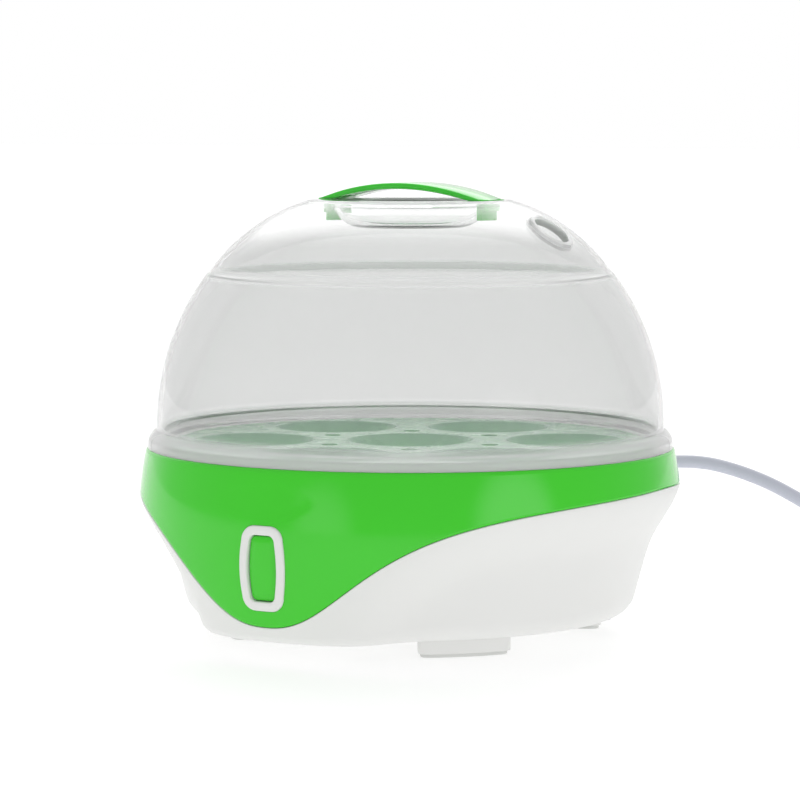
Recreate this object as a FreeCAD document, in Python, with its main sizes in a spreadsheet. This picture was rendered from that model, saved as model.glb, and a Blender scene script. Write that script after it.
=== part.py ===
"""Round egg cooker: a parametric assembly of separate pieces, in millimetres, +Z up, front at -Y.

The origin is on the table, under the middle of the round body. Every driving size is a cell of the
spreadsheet Sizes, and every piece is an object of the document whose label names its STEP file.
"""
import FreeCAD, Part

import math
import os
import re

import Sketcher

V = FreeCAD.Vector
X_AXIS = V(1, 0, 0)
Y_AXIS = V(0, 1, 0)
Z_AXIS = V(0, 0, 1)

# ---------------------------------------------------------------- driving dimensions

SIZES = {
    # overall
    "rim_r": 92.1, "rim_z": 64.7, "belly_swell": 3.0, "belly_z": 36.0, "base_z": 6.7,
    "shell_wall": 2.2, "lap_gap": 0.2, "lap_wall": 1.6, "lap_height": 2.4, "line_gap": 0.3,
    # line where the green band meets the white housing
    "line_below": 9.7, "line_front_drop": 42.8, "line_half_deg": 25.0, "line_power": 2.45,
    "line_back_drop": 2.6, "back_from_deg": 92.0, "back_over_deg": 40.0,
    # crease under the swept flank, and the lower body
    "crease_side_z": 36.8, "crease_front_drop": 30.1, "crease_half_deg": 33.0, "crease_power": 5.0,
    "crease_back_drop": 2.3, "crease_soft": 3.0, "flank_power": 1.45,
    "foot_cone_in": 16.5, "foot_cone_slope": 0.25,
    "chin_out": 13.3, "chin_half_deg": 24.5, "chin_power": 7.0,
    "edge_r": 3.0, "edge_extra_r": 3.0, "edge_half_deg": 26.0, "edge_power": 6.0,
    # band
    "band_lip": 5.6, "band_lip_wall": 2.2,
    "pad_width": 36.0, "pad_height": 11.0, "pad_below": 10.3, "pad_depth": 0.25,
    # button
    "button_z": 32.0, "bezel_width": 17.6, "bezel_height": 28.3, "bezel_wall": 3.1, "bezel_proud": 0.7,
    "bezel_corner_r": 5.0, "bezel_bulge": 0.8, "bezel_flange": 2.0, "bezel_flange_wall": 1.4,
    "cap_gap": 0.35, "cap_corner_r": 2.4, "cap_depth": 4.6, "cap_sunk": 0.4, "cap_bulge": 0.6,
    "press_travel": 2.4, "stem_r": 2.4, "stem_length": 5.5, "press_spare": 0.5,
    "spring_r": 3.4, "spring_wire_r": 0.35, "spring_turns": 4.0,
    "switch_width": 12.0, "switch_height": 19.0, "switch_depth": 8.0, "tip_r": 1.5, "tip_held": 3.0,
    "tab_width": 3.0, "tab_wall": 0.8, "tab_height": 6.0, "bracket_width": 20.0, "bracket_wall": 2.0,
    "bracket_foot": 12.0, "bracket_top_z": 41.0,
    # feet
    "boss_r": 7.6, "boss_length": 15.8,
    "foot_from_rim": 25.1, "foot_deep": 10.0, "foot_span_deg": 28.6, "foot_front_deg": 47.4,
    "foot_corner_r": 2.0,
    "pad_wall": 1.2, "pad_inset": 0.8,
    # deck and heating plate
    "deck_rim_in": 2.8, "ledge_in": 12.1, "deck_wall": 2.0, "shelf_out_r": 71.5,
    "shelf_width": 6.0, "shelf_drop": 16.0, "seal_wall": 1.0, "plate_wall": 1.0, "plate_gap": 1.0,
    "plate_slope": 2.3, "plate_drop": 6.5, "plate_wall_gap": 1.2,
    "post_out": 2.9, "post_r": 3.2, "post_bore_r": 1.4, "post_deg": 20.0, "screw_gap": 0.1,
    "screw_head_r": 2.5, "screw_head": 1.6, "screw_length": 14.0,
    # heater
    "spreader_in": 8.0, "spreader_wall": 2.0, "element_in": 10.0, "element_r": 3.2,
    "element_gap_deg": 50.0, "pin_r": 1.6, "pin_length": 8.0,
    "stud_r": 2.0, "stud_length": 13.0, "strap_width": 12.0, "strap_wall": 1.5,
    "nut_flats_r": 4.0, "nut_wall": 3.0,
    # thermostat and fuse
    "stat_r": 7.5, "stat_depth": 8.0, "stat_y": -24.0, "stat_flange_r": 9.5,
    "stat_flange": 1.5, "stat_screw_x": 13.0, "stat_screw_r": 1.4, "stat_tab_x": 3.0,
    "strip_length": 34.0, "strip_width": 8.0, "strip_wall": 1.0,
    "fuse_r": 2.0, "fuse_length": 14.0, "fuse_x": 24.0, "fuse_y": 14.0, "fuse_clip_width": 5.0,
    "fuse_clip_span": 10.0,
    # terminal block and cord entry
    "block_x": 24.0, "block_y": 52.0, "block_width": 22.0, "block_depth": 14.0, "block_height": 11.0,
    "block_screw_r": 1.5, "cord_r": 2.5, "entry_z": 42.0, "grommet_r": 4.2, "grommet_flange_r": 6.2,
    "grommet_flange": 2.0, "grommet_out": 24.0, "grommet_tip_r": 3.2,
    "grommet_root_r": 4.6,
    "clamp_y": 54.0, "clamp_width": 22.0, "clamp_depth": 8.0, "clamp_wall": 2.5, "clamp_screw_x": 7.5,
    "clamp_screw_r": 1.4, "small_head_r": 2.4, "small_head": 1.4,
    # rack
    "rack_gap": 2.4, "rack_rise": 4.1, "rack_wall": 2.0, "rack_skirt": 1.8, "seat_edge": 7.6,
    "seat_r": 21.5, "seat_hole_r": 15.5, "seat_depth": 8.0, "seat_wall": 1.8, "steam_slot_r": 3.0,
    # lid
    "lid_wall": 1.8, "flange_gap": 0.5, "flange_width": 4.6, "flange_rise": 2.3, "wall_in": 3.6,
    "wall_base_rise": 6.3, "wall_mid_in": 6.5, "wall_mid_rise": 30.3, "step_from_rim": 20.9, "step_rise": 59.9,
    "step_in": 1.4, "crown_mid_in": 36.1, "crown_mid_rise": 75.4, "plateau_r": 35.0, "plateau_rise": 85.9,
    "recess_r": 26.0, "recess_mid_r": 22.6, "recess_mid_drop": 5.6, "recess_floor_r": 16.0,
    "recess_depth": 8.0, "flare_in": 1.5, "flare_rise": 4.7,
    "vent_in": 36.6, "vent_rise": 75.7, "vent_tilt_deg": 37.0, "vent_r": 6.8, "vent_collar_r": 8.6,
    "vent_proud": 0.8,
    # handle
    "handle_chord": 66.0, "handle_rise": 5.9, "handle_wall": 2.2, "handle_width": 18.0, "handle_foot": 6.0,
    "leg_width": 11.0, "leg_wall": 2.0, "leg_drop": 7.0, "leg_in": 2.6, "leg_gap": 0.2,
    "hook_out": 1.2, "hook_height": 2.0,
    # plug and coil
    "coil_mean_r": 27.5, "coil_x": 130.1, "coil_behind": 112.1, "coil_low_z": 1.2, "coil_height": 10.2,
    "coil_width": 10.6, "tie_width": 6.0, "tie_wall": 0.8, "tie_gap": 0.4,
    "plug_x": 101.0, "plug_behind": 156.0, "plug_length": 34.0, "plug_width": 35.0, "plug_height": 14.0,
    "plug_back_width": 14.0, "plug_taper": 16.0, "plug_pin_r": 2.0, "plug_pin_length": 19.0,
    "plug_pin_pitch": 19.0, "plug_neck_length": 12.0, "plug_neck_r": 4.2, "plug_pin_held": 6.0,
    # wires
    "wire_r": 1.0,
    # floor vents and rack steam holes
    "vent_slot_r": 2.0, "vent_ring_r": 40.0, "steam_ring_r": 32.0,
}

# Sizes that follow others, each by a named inset, rise or clearance.
FOLLOWING = {
    "belly_r": "(rim_r + belly_swell)", "line_side_z": "(rim_z - line_below)", "pad_z": "(rim_z - pad_below)",
    "foot_cone_r": "(rim_r - foot_cone_in)", "band_lip_r": "(rim_r - band_lip)",
    "boss_out_y": "(belly_r + bezel_proud)", "boss_in_y": "(boss_out_y - boss_length)",
    "foot_out_r": "(rim_r - foot_from_rim)", "foot_in_r": "(foot_out_r - foot_deep)",
    "deck_rim_r": "(rim_r - deck_rim_in)", "ledge_r": "(rim_r - ledge_in)", "ledge_z": "(rim_z - band_lip_wall)",
    "shelf_in_r": "(shelf_out_r - shelf_width)", "shelf_z": "(ledge_z - shelf_drop)",
    "plate_lip_r": "(shelf_out_r - plate_gap)", "plate_wall_r": "(shelf_in_r - plate_wall_gap)",
    "plate_dish_r": "(plate_wall_r - plate_slope)", "plate_z": "(shelf_z - plate_drop)",
    "post_ring_r": "(shelf_in_r + post_out)", "spreader_r": "(plate_dish_r - spreader_in)",
    "element_ring_r": "(spreader_r - element_in)", "strap_length": "(2 * spreader_r)",
    "rack_r": "(flange_in_r - rack_gap)", "rack_top_z": "(ledge_z + rack_rise)",
    "seat_ring_r": "(rack_r - seat_r - seat_edge)",
    "flange_r": "(rim_r - flange_gap)", "flange_in_r": "(flange_r - flange_width)",
    "flange_z": "(rim_z + flange_rise)", "flare_mid_r": "(rim_r - flare_in)", "flare_mid_z": "(rim_z + flare_rise)",
    "wall_base_r": "(rim_r - wall_in)", "wall_base_z": "(rim_z + wall_base_rise)",
    "wall_mid_r": "(rim_r - wall_mid_in)", "wall_mid_z": "(rim_z + wall_mid_rise)",
    "step_r": "(rim_r - step_from_rim)", "step_z": "(rim_z + step_rise)",
    "crown_mid_r": "(rim_r - crown_mid_in)", "crown_mid_z": "(rim_z + crown_mid_rise)",
    "plateau_z": "(rim_z + plateau_rise)", "vent_x": "(rim_r - vent_in)", "vent_z": "(rim_z + vent_rise)",
    "leg_x": "(handle_chord / 2 - leg_in)",
    "exit_y": "(boss_out_y + grommet_flange + grommet_out)",
    "coil_y": "(exit_y + coil_behind)", "plug_y": "(exit_y + plug_behind)",
}

# ---------------------------------------------------------------- document and helpers

DOC = FreeCAD.newDocument("EggCooker")
SHEET = DOC.addObject("Spreadsheet::Sheet", "Sizes")
for row_number, (alias, number) in enumerate(SIZES.items(), start=1):
    SHEET.set(f"A{row_number}", alias)
    SHEET.set(f"B{row_number}", str(number))
    SHEET.setAlias(f"B{row_number}", alias)
DOC.recompute()

PIECES = {}
WORD = re.compile(r"[a-z_][a-z0-9_]*")
SEAM_DEG = 180.0
SEGMENTS = 72
SPRING_CORNERS = 10
TRIM_SPARE = 10.0


def expanded(text):
    """The text of an expression with each size that follows others written out."""
    if not FOLLOWING.keys() & set(WORD.findall(str(text))):
        return str(text)
    return expanded(WORD.sub(lambda word: FOLLOWING.get(word.group(), word.group()), str(text)))


def value(text):
    """Number that an expression in the sizes' names stands for."""
    return float(SHEET.evalExpression(expanded(text)))


def bound(text):
    """The same expression as another object of the document has to write it."""
    def named(word):
        return f"Sizes.{word.group()}" if word.group() in SIZES else word.group()
    return WORD.sub(named, expanded(text))


def tie(item, **expressions):
    """Binds properties of an object to expressions in the sheet's names."""
    for name, text in expressions.items():
        item.setExpression(name, bound(text))
    return item


def at(item, x="0", y="0", z="0", axis=Z_AXIS, turn="0"):
    """Places an object, with every coordinate and the turn about axis bound to the sheet."""
    item.Placement = FreeCAD.Placement(V(), FreeCAD.Rotation(axis, value(turn) or 1e-9))
    for name, text in zip("xyz", (x, y, z)):
        item.setExpression(f"Placement.Base.{name}", bound(text))
    if turn != "0":
        item.setExpression("Placement.Rotation.Angle", bound(turn))
    return item


def keep(node, item):
    """Names an object as a finished piece of the assembly."""
    item.Label = node
    PIECES[node] = item
    return item


def box(name, width, depth, height, x="0", y="0", z="0", turn="0"):
    """Block centred on x and y when unturned, with its underside at z."""
    item = tie(DOC.addObject("Part::Box", name), Length=width, Width=depth, Height=height)
    return at(item, f"{x} - ({width}) / 2", f"{y} - ({depth}) / 2", z, Z_AXIS, turn)


def cylinder(name, radius, height, x="0", y="0", z="0", axis=Z_AXIS, turn="0"):
    """Round bar from x, y, z along the placement's own Z."""
    item = tie(DOC.addObject("Part::Cylinder", name), Radius=radius, Height=height)
    return at(item, x, y, z, axis, turn)


def along_y(name, radius, length, x, y, z):
    """Round bar that runs from x, y, z towards +Y."""
    return cylinder(name, radius, length, x, y, z, X_AXIS, "-90")


def along_x(name, radius, length, x, y, z):
    """Round bar that runs from x, y, z towards +X."""
    return cylinder(name, radius, length, x, y, z, Y_AXIS, "90")


def cone(name, low_radius, high_radius, height, x="0", y="0", z="0", axis=Z_AXIS, turn="0"):
    """Truncated cone from x, y, z along the placement's own Z."""
    item = tie(DOC.addObject("Part::Cone", name), Radius1=low_radius, Radius2=high_radius, Height=height)
    return at(item, x, y, z, axis, turn)


def cut(name, base, *tools):
    """Base less the tools."""
    tool = tools[0] if len(tools) == 1 else fuse(f"{name}_tools", *tools)
    item = DOC.addObject("Part::Cut", name)
    item.Base = base
    item.Tool = tool
    return item


def fuse(name, *shapes):
    """One solid, or a group of separate ones, from several."""
    item = DOC.addObject("Part::MultiFuse", name)
    item.Shapes = list(shapes)
    return item


def common(name, *shapes):
    """What all the shapes share."""
    item = DOC.addObject("Part::MultiCommon", name)
    item.Shapes = list(shapes)
    return item


def free(name, shape):
    """Object that holds a shape worked out here from the sheet's values."""
    item = DOC.addObject("Part::Feature", name)
    item.Shape = shape
    return item


def arc_through(start, middle, end):
    """Counter-clockwise arc through three points, and whether it runs from start to end."""
    (ax, ay), (bx, by), (cx, cy) = start, middle, end
    double_area = 2 * (ax * (by - cy) + bx * (cy - ay) + cx * (ay - by))
    a_sq, b_sq, c_sq = ax * ax + ay * ay, bx * bx + by * by, cx * cx + cy * cy
    ox = (a_sq * (by - cy) + b_sq * (cy - ay) + c_sq * (ay - by)) / double_area
    oy = (a_sq * (cx - bx) + b_sq * (ax - cx) + c_sq * (bx - ax)) / double_area
    forward = double_area > 0
    first, last = (start, end) if forward else (end, start)
    from_angle = math.atan2(first[1] - oy, first[0] - ox)
    to_angle = math.atan2(last[1] - oy, last[0] - ox)
    if to_angle < from_angle:
        to_angle += 2 * math.pi
    circle = Part.Circle(V(ox, oy, 0), Z_AXIS, math.hypot(ax - ox, ay - oy))
    return Part.ArcOfCircle(circle, from_angle, to_angle), forward


def pin_point(sketch, geometry, end, x, y):
    """Fixes one end of a sketch's edge to x and y, both bound to the sheet."""
    for kind, text in (("DistanceX", x), ("DistanceY", y)):
        index = sketch.addConstraint(Sketcher.Constraint(kind, -1, 1, geometry, end, value(text)))
        sketch.setExpression(f"Constraints[{index}]", bound(text))


def draw(sketch, corners):
    """Closed outline. A corner is (x, y), or (x, y, (x, y)) if an arc leaves it through that point."""
    spots = [(value(corner[0]), value(corner[1])) for corner in corners]
    ends = []
    for index, corner in enumerate(corners):
        start, end = spots[index], spots[(index + 1) % len(corners)]
        if len(corner) == 3:
            middle = (value(corner[2][0]), value(corner[2][1]))
            edge, forward = arc_through(start, middle, end)
        else:
            edge, forward = Part.LineSegment(V(*start, 0), V(*end, 0)), True
        ends.append((sketch.addGeometry(edge, False), 1 if forward else 2, 2 if forward else 1))
    for index, corner in enumerate(corners):
        geometry, start_end, far_end = ends[index]
        next_geometry, next_start, _ = ends[(index + 1) % len(corners)]
        sketch.addConstraint(Sketcher.Constraint("Coincident", geometry, far_end, next_geometry, next_start))
        pin_point(sketch, geometry, start_end, corner[0], corner[1])
        if len(corner) == 3:
            point = sketch.addGeometry(Part.Point(V(value(corner[2][0]), value(corner[2][1]), 0)), True)
            pin_point(sketch, point, 1, *corner[2])
            sketch.addConstraint(Sketcher.Constraint("PointOnObject", point, 1, geometry))


def new_sketch(name, role):
    """Body and, on its origin plane of that role, a sketch."""
    body = DOC.addObject("PartDesign::Body", f"{name}_body")
    sketch = body.newObject("Sketcher::SketchObject", f"{name}_sketch")
    plane = next(item for item in body.Origin.OriginFeatures if item.Role == role)
    sketch.AttachmentSupport = [(plane, "")]
    sketch.MapMode = "FlatFace"
    return body, sketch


def turned(name, corners):
    """Body turned about Z from a profile of (radius, height) corners."""
    body, sketch = new_sketch(name, "XZ_Plane")
    draw(sketch, corners)
    feature = body.newObject("PartDesign::Revolution", f"{name}_turn")
    feature.Profile = sketch
    feature.ReferenceAxis = (sketch, ["V_Axis"])
    feature.Angle = 360
    return body


def block_y(name, corners, length, y="0"):
    """Body whose outline lies in XZ and runs from y towards -Y by length."""
    body, sketch = new_sketch(name, "XZ_Plane")
    draw(sketch, corners)
    feature = body.newObject("PartDesign::Pad", f"{name}_pad")
    feature.Profile = sketch
    tie(feature, Length=length)
    return at(body, y=y)


# ---------------------------------------------------------------- the body's free-form skin

def wall_at(height, inset="0"):
    """Expression for the band's radius at a height, less an inset."""
    bow = "((rim_z - belly_z)^2 + (belly_r - rim_r)^2) / (2 * (belly_r - rim_r))"
    return f"belly_r - {bow} + sqrt(({bow})^2 - ({height} - belly_z)^2) - ({inset})"


class Skin:
    """The housing's outer skin: a radius for every angle from the front and every height."""

    def __init__(self):
        self.size = {name: value(name) for name in [*SIZES, *FOLLOWING]}
        size = self.size
        rise, swell = size["rim_z"] - size["belly_z"], size["belly_r"] - size["rim_r"]
        self.bow = (rise ** 2 + swell ** 2) / (2 * swell)

    def bell(self, angle, name):
        """1 at the front, 1/2 at the named half angle and 0 behind."""
        share = abs(angle) / self.size[f"{name}_half_deg"]
        return 1 / (1 + share ** self.size[f"{name}_power"])

    def behind(self, angle):
        """0 at the front and sides, easing to 1 at the back."""
        share = (abs(angle) - self.size["back_from_deg"]) / self.size["back_over_deg"]
        share = min(1.0, max(0.0, share))
        return share * share * (3 - 2 * share)

    def wall(self, height):
        """Radius of the band."""
        return self.size["belly_r"] - self.bow + math.sqrt(self.bow ** 2 - (height - self.size["belly_z"]) ** 2)

    def line(self, angle):
        """Height where the green band ends and the white housing starts."""
        drop = self.size["line_front_drop"] * self.bell(angle, "line")
        return self.size["line_side_z"] - drop - self.size["line_back_drop"] * self.behind(angle)

    def crease(self, angle):
        """Height of the crease under the swept flank."""
        drop = self.size["crease_front_drop"] * self.bell(angle, "crease")
        return self.size["crease_side_z"] - drop - self.size["crease_back_drop"] * self.behind(angle)

    def body(self, angle, height):
        """Radius of the tapered lower body, with the chin that stands out under the panel."""
        cone_radius = self.size["foot_cone_r"] + self.size["foot_cone_slope"] * height
        return cone_radius + self.size["chin_out"] * self.bell(angle, "chin")

    def side(self, angle, height):
        """Radius of the skin, from the bottom edge up to the line."""
        top, fold = self.line(angle), self.crease(angle)
        top_radius, soft = self.wall(top), self.size["crease_soft"]
        share = max(0.0, (top - height) / (top - fold)) ** self.size["flank_power"]
        flank = top_radius - (top_radius - self.body(angle, fold)) * share
        body = self.body(angle, height)
        step = top_radius - self.body(angle, top)
        rounding = (math.hypot(step, soft) - abs(step)) / 2
        return (flank + body + math.hypot(flank - body, soft)) / 2 - rounding

    def edge(self, angle):
        """Radius of the rounding along the bottom edge: small under the chin, larger behind."""
        return self.size["edge_r"] + self.size["edge_extra_r"] * (1 - self.bell(angle, "edge"))

    def rows(self, inset, floor, steps=8):
        """Functions of the angle that give (radius, height) along the skin, from the floor to the line."""
        def rounded(turn):
            def row(angle):
                rounding = max(0.4, self.edge(angle) - inset)
                height = floor + rounding * (1 - math.cos(turn))
                return self.side(angle, height) - inset - rounding * (1 - math.sin(turn)), height
            return row

        def straight(step):
            def row(angle):
                start = floor + max(0.4, self.edge(angle) - inset)
                height = start + (self.line(angle) - start) * step / steps
                return self.side(angle, height) - inset, height
            return row

        arc = [rounded(math.radians(turn)) for turn in (0, 30, 60, 90)]
        return arc + [straight(step) for step in range(1, steps + 1)]


SKIN = Skin()


def loop(row):
    """Closed smooth curve round the axis through the (radius, height) that row gives at each angle."""
    points = []
    for index in range(SEGMENTS):
        angle = -SEAM_DEG + 360.0 * index / SEGMENTS
        radius, height = row(angle)
        turn = math.radians(angle)
        points.append(V(radius * math.sin(turn), -radius * math.cos(turn), height))
    curve = Part.BSplineCurve()
    curve.interpolate(Points=points, PeriodicFlag=True)
    return Part.Wire(curve.toShape())


def between(low, high):
    """Ruled face between two closed curves."""
    return Part.makeRuledSurface(low.Edges[0], high.Edges[0])


def closed_solid(faces):
    """Solid from faces whose edges meet."""
    shell = Part.Shell(sum((part.Faces for part in faces), []))
    shell.sewShape()
    solid = Part.Solid(Part.Shell(shell.Faces))
    if solid.Volume < 0:
        solid.reverse()
    return solid


def bowl_of_skin():
    """White housing before its holes: skin, ledge for the band, lap lip behind the band, and floor."""
    size = SKIN.size
    wall, floor = size["shell_wall"], size["base_z"]
    lip_in = wall + size["lap_gap"]
    outer = [loop(row) for row in SKIN.rows(0.0, floor)]
    inner_rows = SKIN.rows(wall, floor + wall)
    lip_wall, lip_height = size["lap_wall"], size["lap_height"]

    def ledge(angle):
        return SKIN.wall(SKIN.line(angle)) - lip_in, SKIN.line(angle)

    def lip_top(angle):
        top = SKIN.line(angle) + lip_height
        return SKIN.wall(top) - lip_in, top

    def lip_inside_top(angle):
        radius, top = lip_top(angle)
        return radius - lip_wall, top

    def lip_inside(angle):
        radius, top = ledge(angle)
        return radius - lip_wall, top

    inner = [loop(row) for row in inner_rows[:-1]]
    lip = [loop(row) for row in (lip_inside, lip_inside_top, lip_top, ledge)]
    faces = [Part.makeLoft(outer, False, False), Part.makeLoft(inner, False, False)]
    chain = [inner[-1]] + lip + [outer[-1]]
    faces += [between(low, high) for low, high in zip(chain, chain[1:])]
    faces += [Part.Face(outer[0]), Part.Face(inner[0])]
    return closed_solid(faces)


def under_line():
    """Ring of everything below the line between band and housing, wide enough to trim the band."""
    reach_in, reach_out = SKIN.size["ledge_r"] - TRIM_SPARE, SKIN.size["belly_r"] + TRIM_SPARE
    gap = SKIN.size["line_gap"]
    corners = [
        loop(lambda angle: (reach_in, 0.0)),
        loop(lambda angle: (reach_in, SKIN.line(angle) + gap)),
        loop(lambda angle: (reach_out, SKIN.line(angle) + gap)),
        loop(lambda angle: (reach_out, 0.0)),
    ]
    pairs = list(zip(corners, corners[1:] + corners[:1]))
    return closed_solid([between(low, high) for low, high in pairs])


# ---------------------------------------------------------------- outer casings

BAND_R = wall_at("base_z")
INSIDE_TOP = wall_at("rim_z - band_lip_wall", "shell_wall")


def wall_ring(name, outset, inset, low, high):
    """Ring that follows the band's wall from inset inside it to outset outside it."""
    return turned(name, [
        (wall_at(low, inset), low),
        (wall_at(low, f"-({outset})"), low, (f"belly_r + {outset}", "belly_z")),
        (wall_at(high, f"-({outset})"), high),
        (wall_at(high, inset), high, (f"belly_r - ({inset})", "belly_z")),
    ])


def barrel(width, height, corner, bulge, middle):
    """Upright rounded outline with bowed sides; sizes are expressions, middle its height above the table."""
    half_w, half_h = f"(({width}) / 2)", f"(({height}) / 2)"
    side = f"({half_w} - ({bulge}))"
    inner_x, inner_z = f"({side} - ({corner}))", f"({half_h} - ({corner}))"
    bend_x, bend_z = f"({inner_x} + ({corner}) * sqrt(0.5))", f"({inner_z} + ({corner}) * sqrt(0.5))"
    return [
        (f"-{inner_x}", f"{middle} - {half_h}"),
        (inner_x, f"{middle} - {half_h}", (bend_x, f"{middle} - {bend_z}")),
        (side, f"{middle} - {inner_z}", (half_w, middle)),
        (side, f"{middle} + {inner_z}", (bend_x, f"{middle} + {bend_z}")),
        (inner_x, f"{middle} + {half_h}"),
        (f"-{inner_x}", f"{middle} + {half_h}", (f"-{bend_x}", f"{middle} + {bend_z}")),
        (f"-{side}", f"{middle} + {inner_z}", (f"-{half_w}", middle)),
        (f"-{side}", f"{middle} - {inner_z}", (f"-{bend_x}", f"{middle} - {bend_z}")),
    ]


FRONT_DEPTH = "belly_r * 0.4"
FRONT_START = "-belly_r * 0.75"


def front_block(name, width, height, corner, bulge, middle="button_z"):
    """Barrel outline run through the front wall along Y."""
    return block_y(name, barrel(width, height, corner, bulge, middle), FRONT_DEPTH, FRONT_START)


def rounded(name, base, radius, chooses):
    """Base with the edges that chooses picks rounded."""
    DOC.recompute()
    size = value(radius)
    picked = [(index, size, size) for index, edge in enumerate(base.Shape.Edges, start=1) if chooses(edge)]
    item = DOC.addObject("Part::Fillet", name)
    item.Base = base
    item.Edges = picked
    return item


def upright(edge):
    """Whether an edge is straight and vertical."""
    if not isinstance(edge.Curve, Part.Line):
        return False
    return abs(edge.tangentAt(edge.FirstParameter).z) > 0.999


def build_band():
    """Green band with the tongue-shaped front panel, button opening and blank oval pad."""
    ring = turned("band_ring", [
        (BAND_R, "base_z", ("belly_r", "belly_z")),
        ("rim_r", "rim_z"),
        ("band_lip_r", "rim_z"),
        ("band_lip_r", "rim_z - band_lip_wall"),
        (INSIDE_TOP, "rim_z - band_lip_wall", ("belly_r - shell_wall", "belly_z")),
        (wall_at("base_z", "shell_wall"), "base_z"),
    ])
    trim = free("band_trim", under_line())
    opening = front_block(
        "bezel_opening", "bezel_width + lap_gap", "bezel_height + lap_gap", "bezel_corner_r", "bezel_bulge")
    oval = tie(DOC.addObject("Part::Ellipse", "pad_oval"), MajorRadius="pad_width / 2", MinorRadius="pad_height / 2")
    at(oval, "0", FRONT_START, "pad_z", X_AXIS, "90")
    prism = DOC.addObject("Part::Extrusion", "pad_prism")
    prism.Base = oval
    prism.DirMode = "Normal"
    prism.Solid = True
    tie(prism, LengthFwd=FRONT_DEPTH)
    recess = common("pad_recess", prism, wall_ring("pad_skin", "shell_wall", "pad_depth", "base_z", "rim_z"))
    keep("band_shell", cut("band_cut", ring, trim, opening, recess))


def build_bezel():
    """White ring round the button, with a flange behind the band."""
    body = common(
        "bezel_body", wall_ring("bezel_ring", "bezel_proud", "shell_wall + bezel_flange_wall", "base_z", "rim_z"),
        front_block("bezel_outer", "bezel_width", "bezel_height", "bezel_corner_r", "bezel_bulge"))
    flange = common(
        "bezel_flange_part", wall_ring("bezel_back_ring", "-shell_wall - line_gap / 2",
                                       "shell_wall + bezel_flange_wall", "base_z", "rim_z"),
        front_block("bezel_back", "bezel_width + 2 * bezel_flange", "bezel_height + 2 * bezel_flange",
                    "bezel_corner_r + bezel_flange", "bezel_bulge"))
    hole = front_block("bezel_hole", "bezel_width - 2 * bezel_wall", "bezel_height - 2 * bezel_wall",
                       "cap_corner_r", "cap_bulge")
    keep("button_bezel", cut("bezel_cut", fuse("bezel_blank", body, flange), hole))


STEM_END = f"-({wall_at('button_z', 'cap_depth')}) + stem_length"
SWITCH_FRONT = f"{STEM_END} + press_travel + press_spare"


def build_button():
    """Cap with its stem, the switch it presses, their spring and the bracket behind them."""
    cap = common(
        "cap_body", wall_ring("cap_ring", "bezel_proud - cap_sunk", "cap_depth", "base_z", "rim_z"),
        front_block("cap_outline", "bezel_width - 2 * bezel_wall - 2 * cap_gap",
                    "bezel_height - 2 * bezel_wall - 2 * cap_gap", "cap_corner_r - cap_gap", "cap_bulge"))
    stem = along_y("cap_stem", "stem_r", "stem_length + 1", "0", f"{STEM_END} - stem_length - 1", "button_z")
    keep("button_cap", fuse("cap_with_stem", cap, stem))
    keep("switch_plunger", along_y(
        "plunger", "tip_r", "press_travel + press_spare + tip_held", "0", STEM_END, "button_z"))
    case = box("switch_case", "switch_width", "switch_depth", "switch_height", "0",
               f"{SWITCH_FRONT} + switch_depth / 2", "button_z - switch_height / 2")
    tabs = [box(f"switch_tab_{side}", "tab_width", "tab_wall", "tab_height",
                f"{side} * (switch_width + tab_width) / 2", f"{SWITCH_FRONT} + switch_depth / 2",
                "button_z - switch_height / 2 + tab_width") for side in (-1, 1)]
    bore = along_y("switch_bore", "tip_r + lap_gap", "press_travel + press_spare + tip_held",
                   "0", f"{SWITCH_FRONT} - press_spare", "button_z")
    keep("switch_body", cut("switch_cut", fuse("switch_blank", case, *tabs), bore))
    back = f"{SWITCH_FRONT} + switch_depth"
    floor = "base_z + shell_wall"
    keep("switch_bracket", fuse(
        "bracket_parts",
        box("bracket_back", "bracket_width", "bracket_wall", f"bracket_top_z - ({floor})", "0",
            f"{back} + bracket_wall / 2", floor),
        box("bracket_base", "bracket_width", "bracket_foot", "bracket_wall", "0",
            f"{back} + bracket_foot / 2", floor),
        box("bracket_shelf", "switch_width", "switch_depth", "bracket_wall", "0",
            f"{back} + bracket_wall / 2 - switch_depth / 2", "button_z - switch_height / 2 - bracket_wall")))
    build_spring()


def build_spring():
    """Coil spring round the stem, from the cap's back to the switch's face."""
    wire_r, gap = value("spring_wire_r"), value("lap_gap") / 2
    start = value(f"{STEM_END} - stem_length") + wire_r + gap
    length = value(SWITCH_FRONT) - wire_r - gap - start
    count = round(value("spring_turns") * SPRING_CORNERS)
    corner_r, middle_z = value("spring_r") / math.cos(math.pi / SPRING_CORNERS), value("button_z")
    points = []
    for index in range(count + 1):
        turn = math.tau * index / SPRING_CORNERS
        points.append((corner_r * math.cos(turn), start + length * index / count,
                       middle_z + corner_r * math.sin(turn)))
    keep("button_spring", free("spring_coil", bent_tube("button_spring", points, wire_r)))


FOOT_ANGLES = {
    "front_right": "foot_front_deg", "front_left": "-foot_front_deg",
    "back_right": "180 - foot_front_deg", "back_left": "foot_front_deg - 180",
}


def foot_block(name, angle, inset, low, height):
    """Arc-shaped block centred on an angle from the front, drawn in by inset all round."""
    span = f"(foot_span_deg - 2 * ({inset}) / foot_out_r * 180 / 3.14159265)"
    outer = cylinder(f"{name}_outer", f"foot_out_r - ({inset})", height, "0", "0", low, Z_AXIS,
                     f"{angle} - 90 - {span} / 2")
    tie(outer, Angle=span)
    inner = cylinder(f"{name}_inner", f"foot_in_r + ({inset})", f"{height} + 2", "0", "0", f"{low} - 1")
    return rounded(f"{name}_round", cut(f"{name}_cut", outer, inner), "foot_corner_r", upright)


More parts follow.
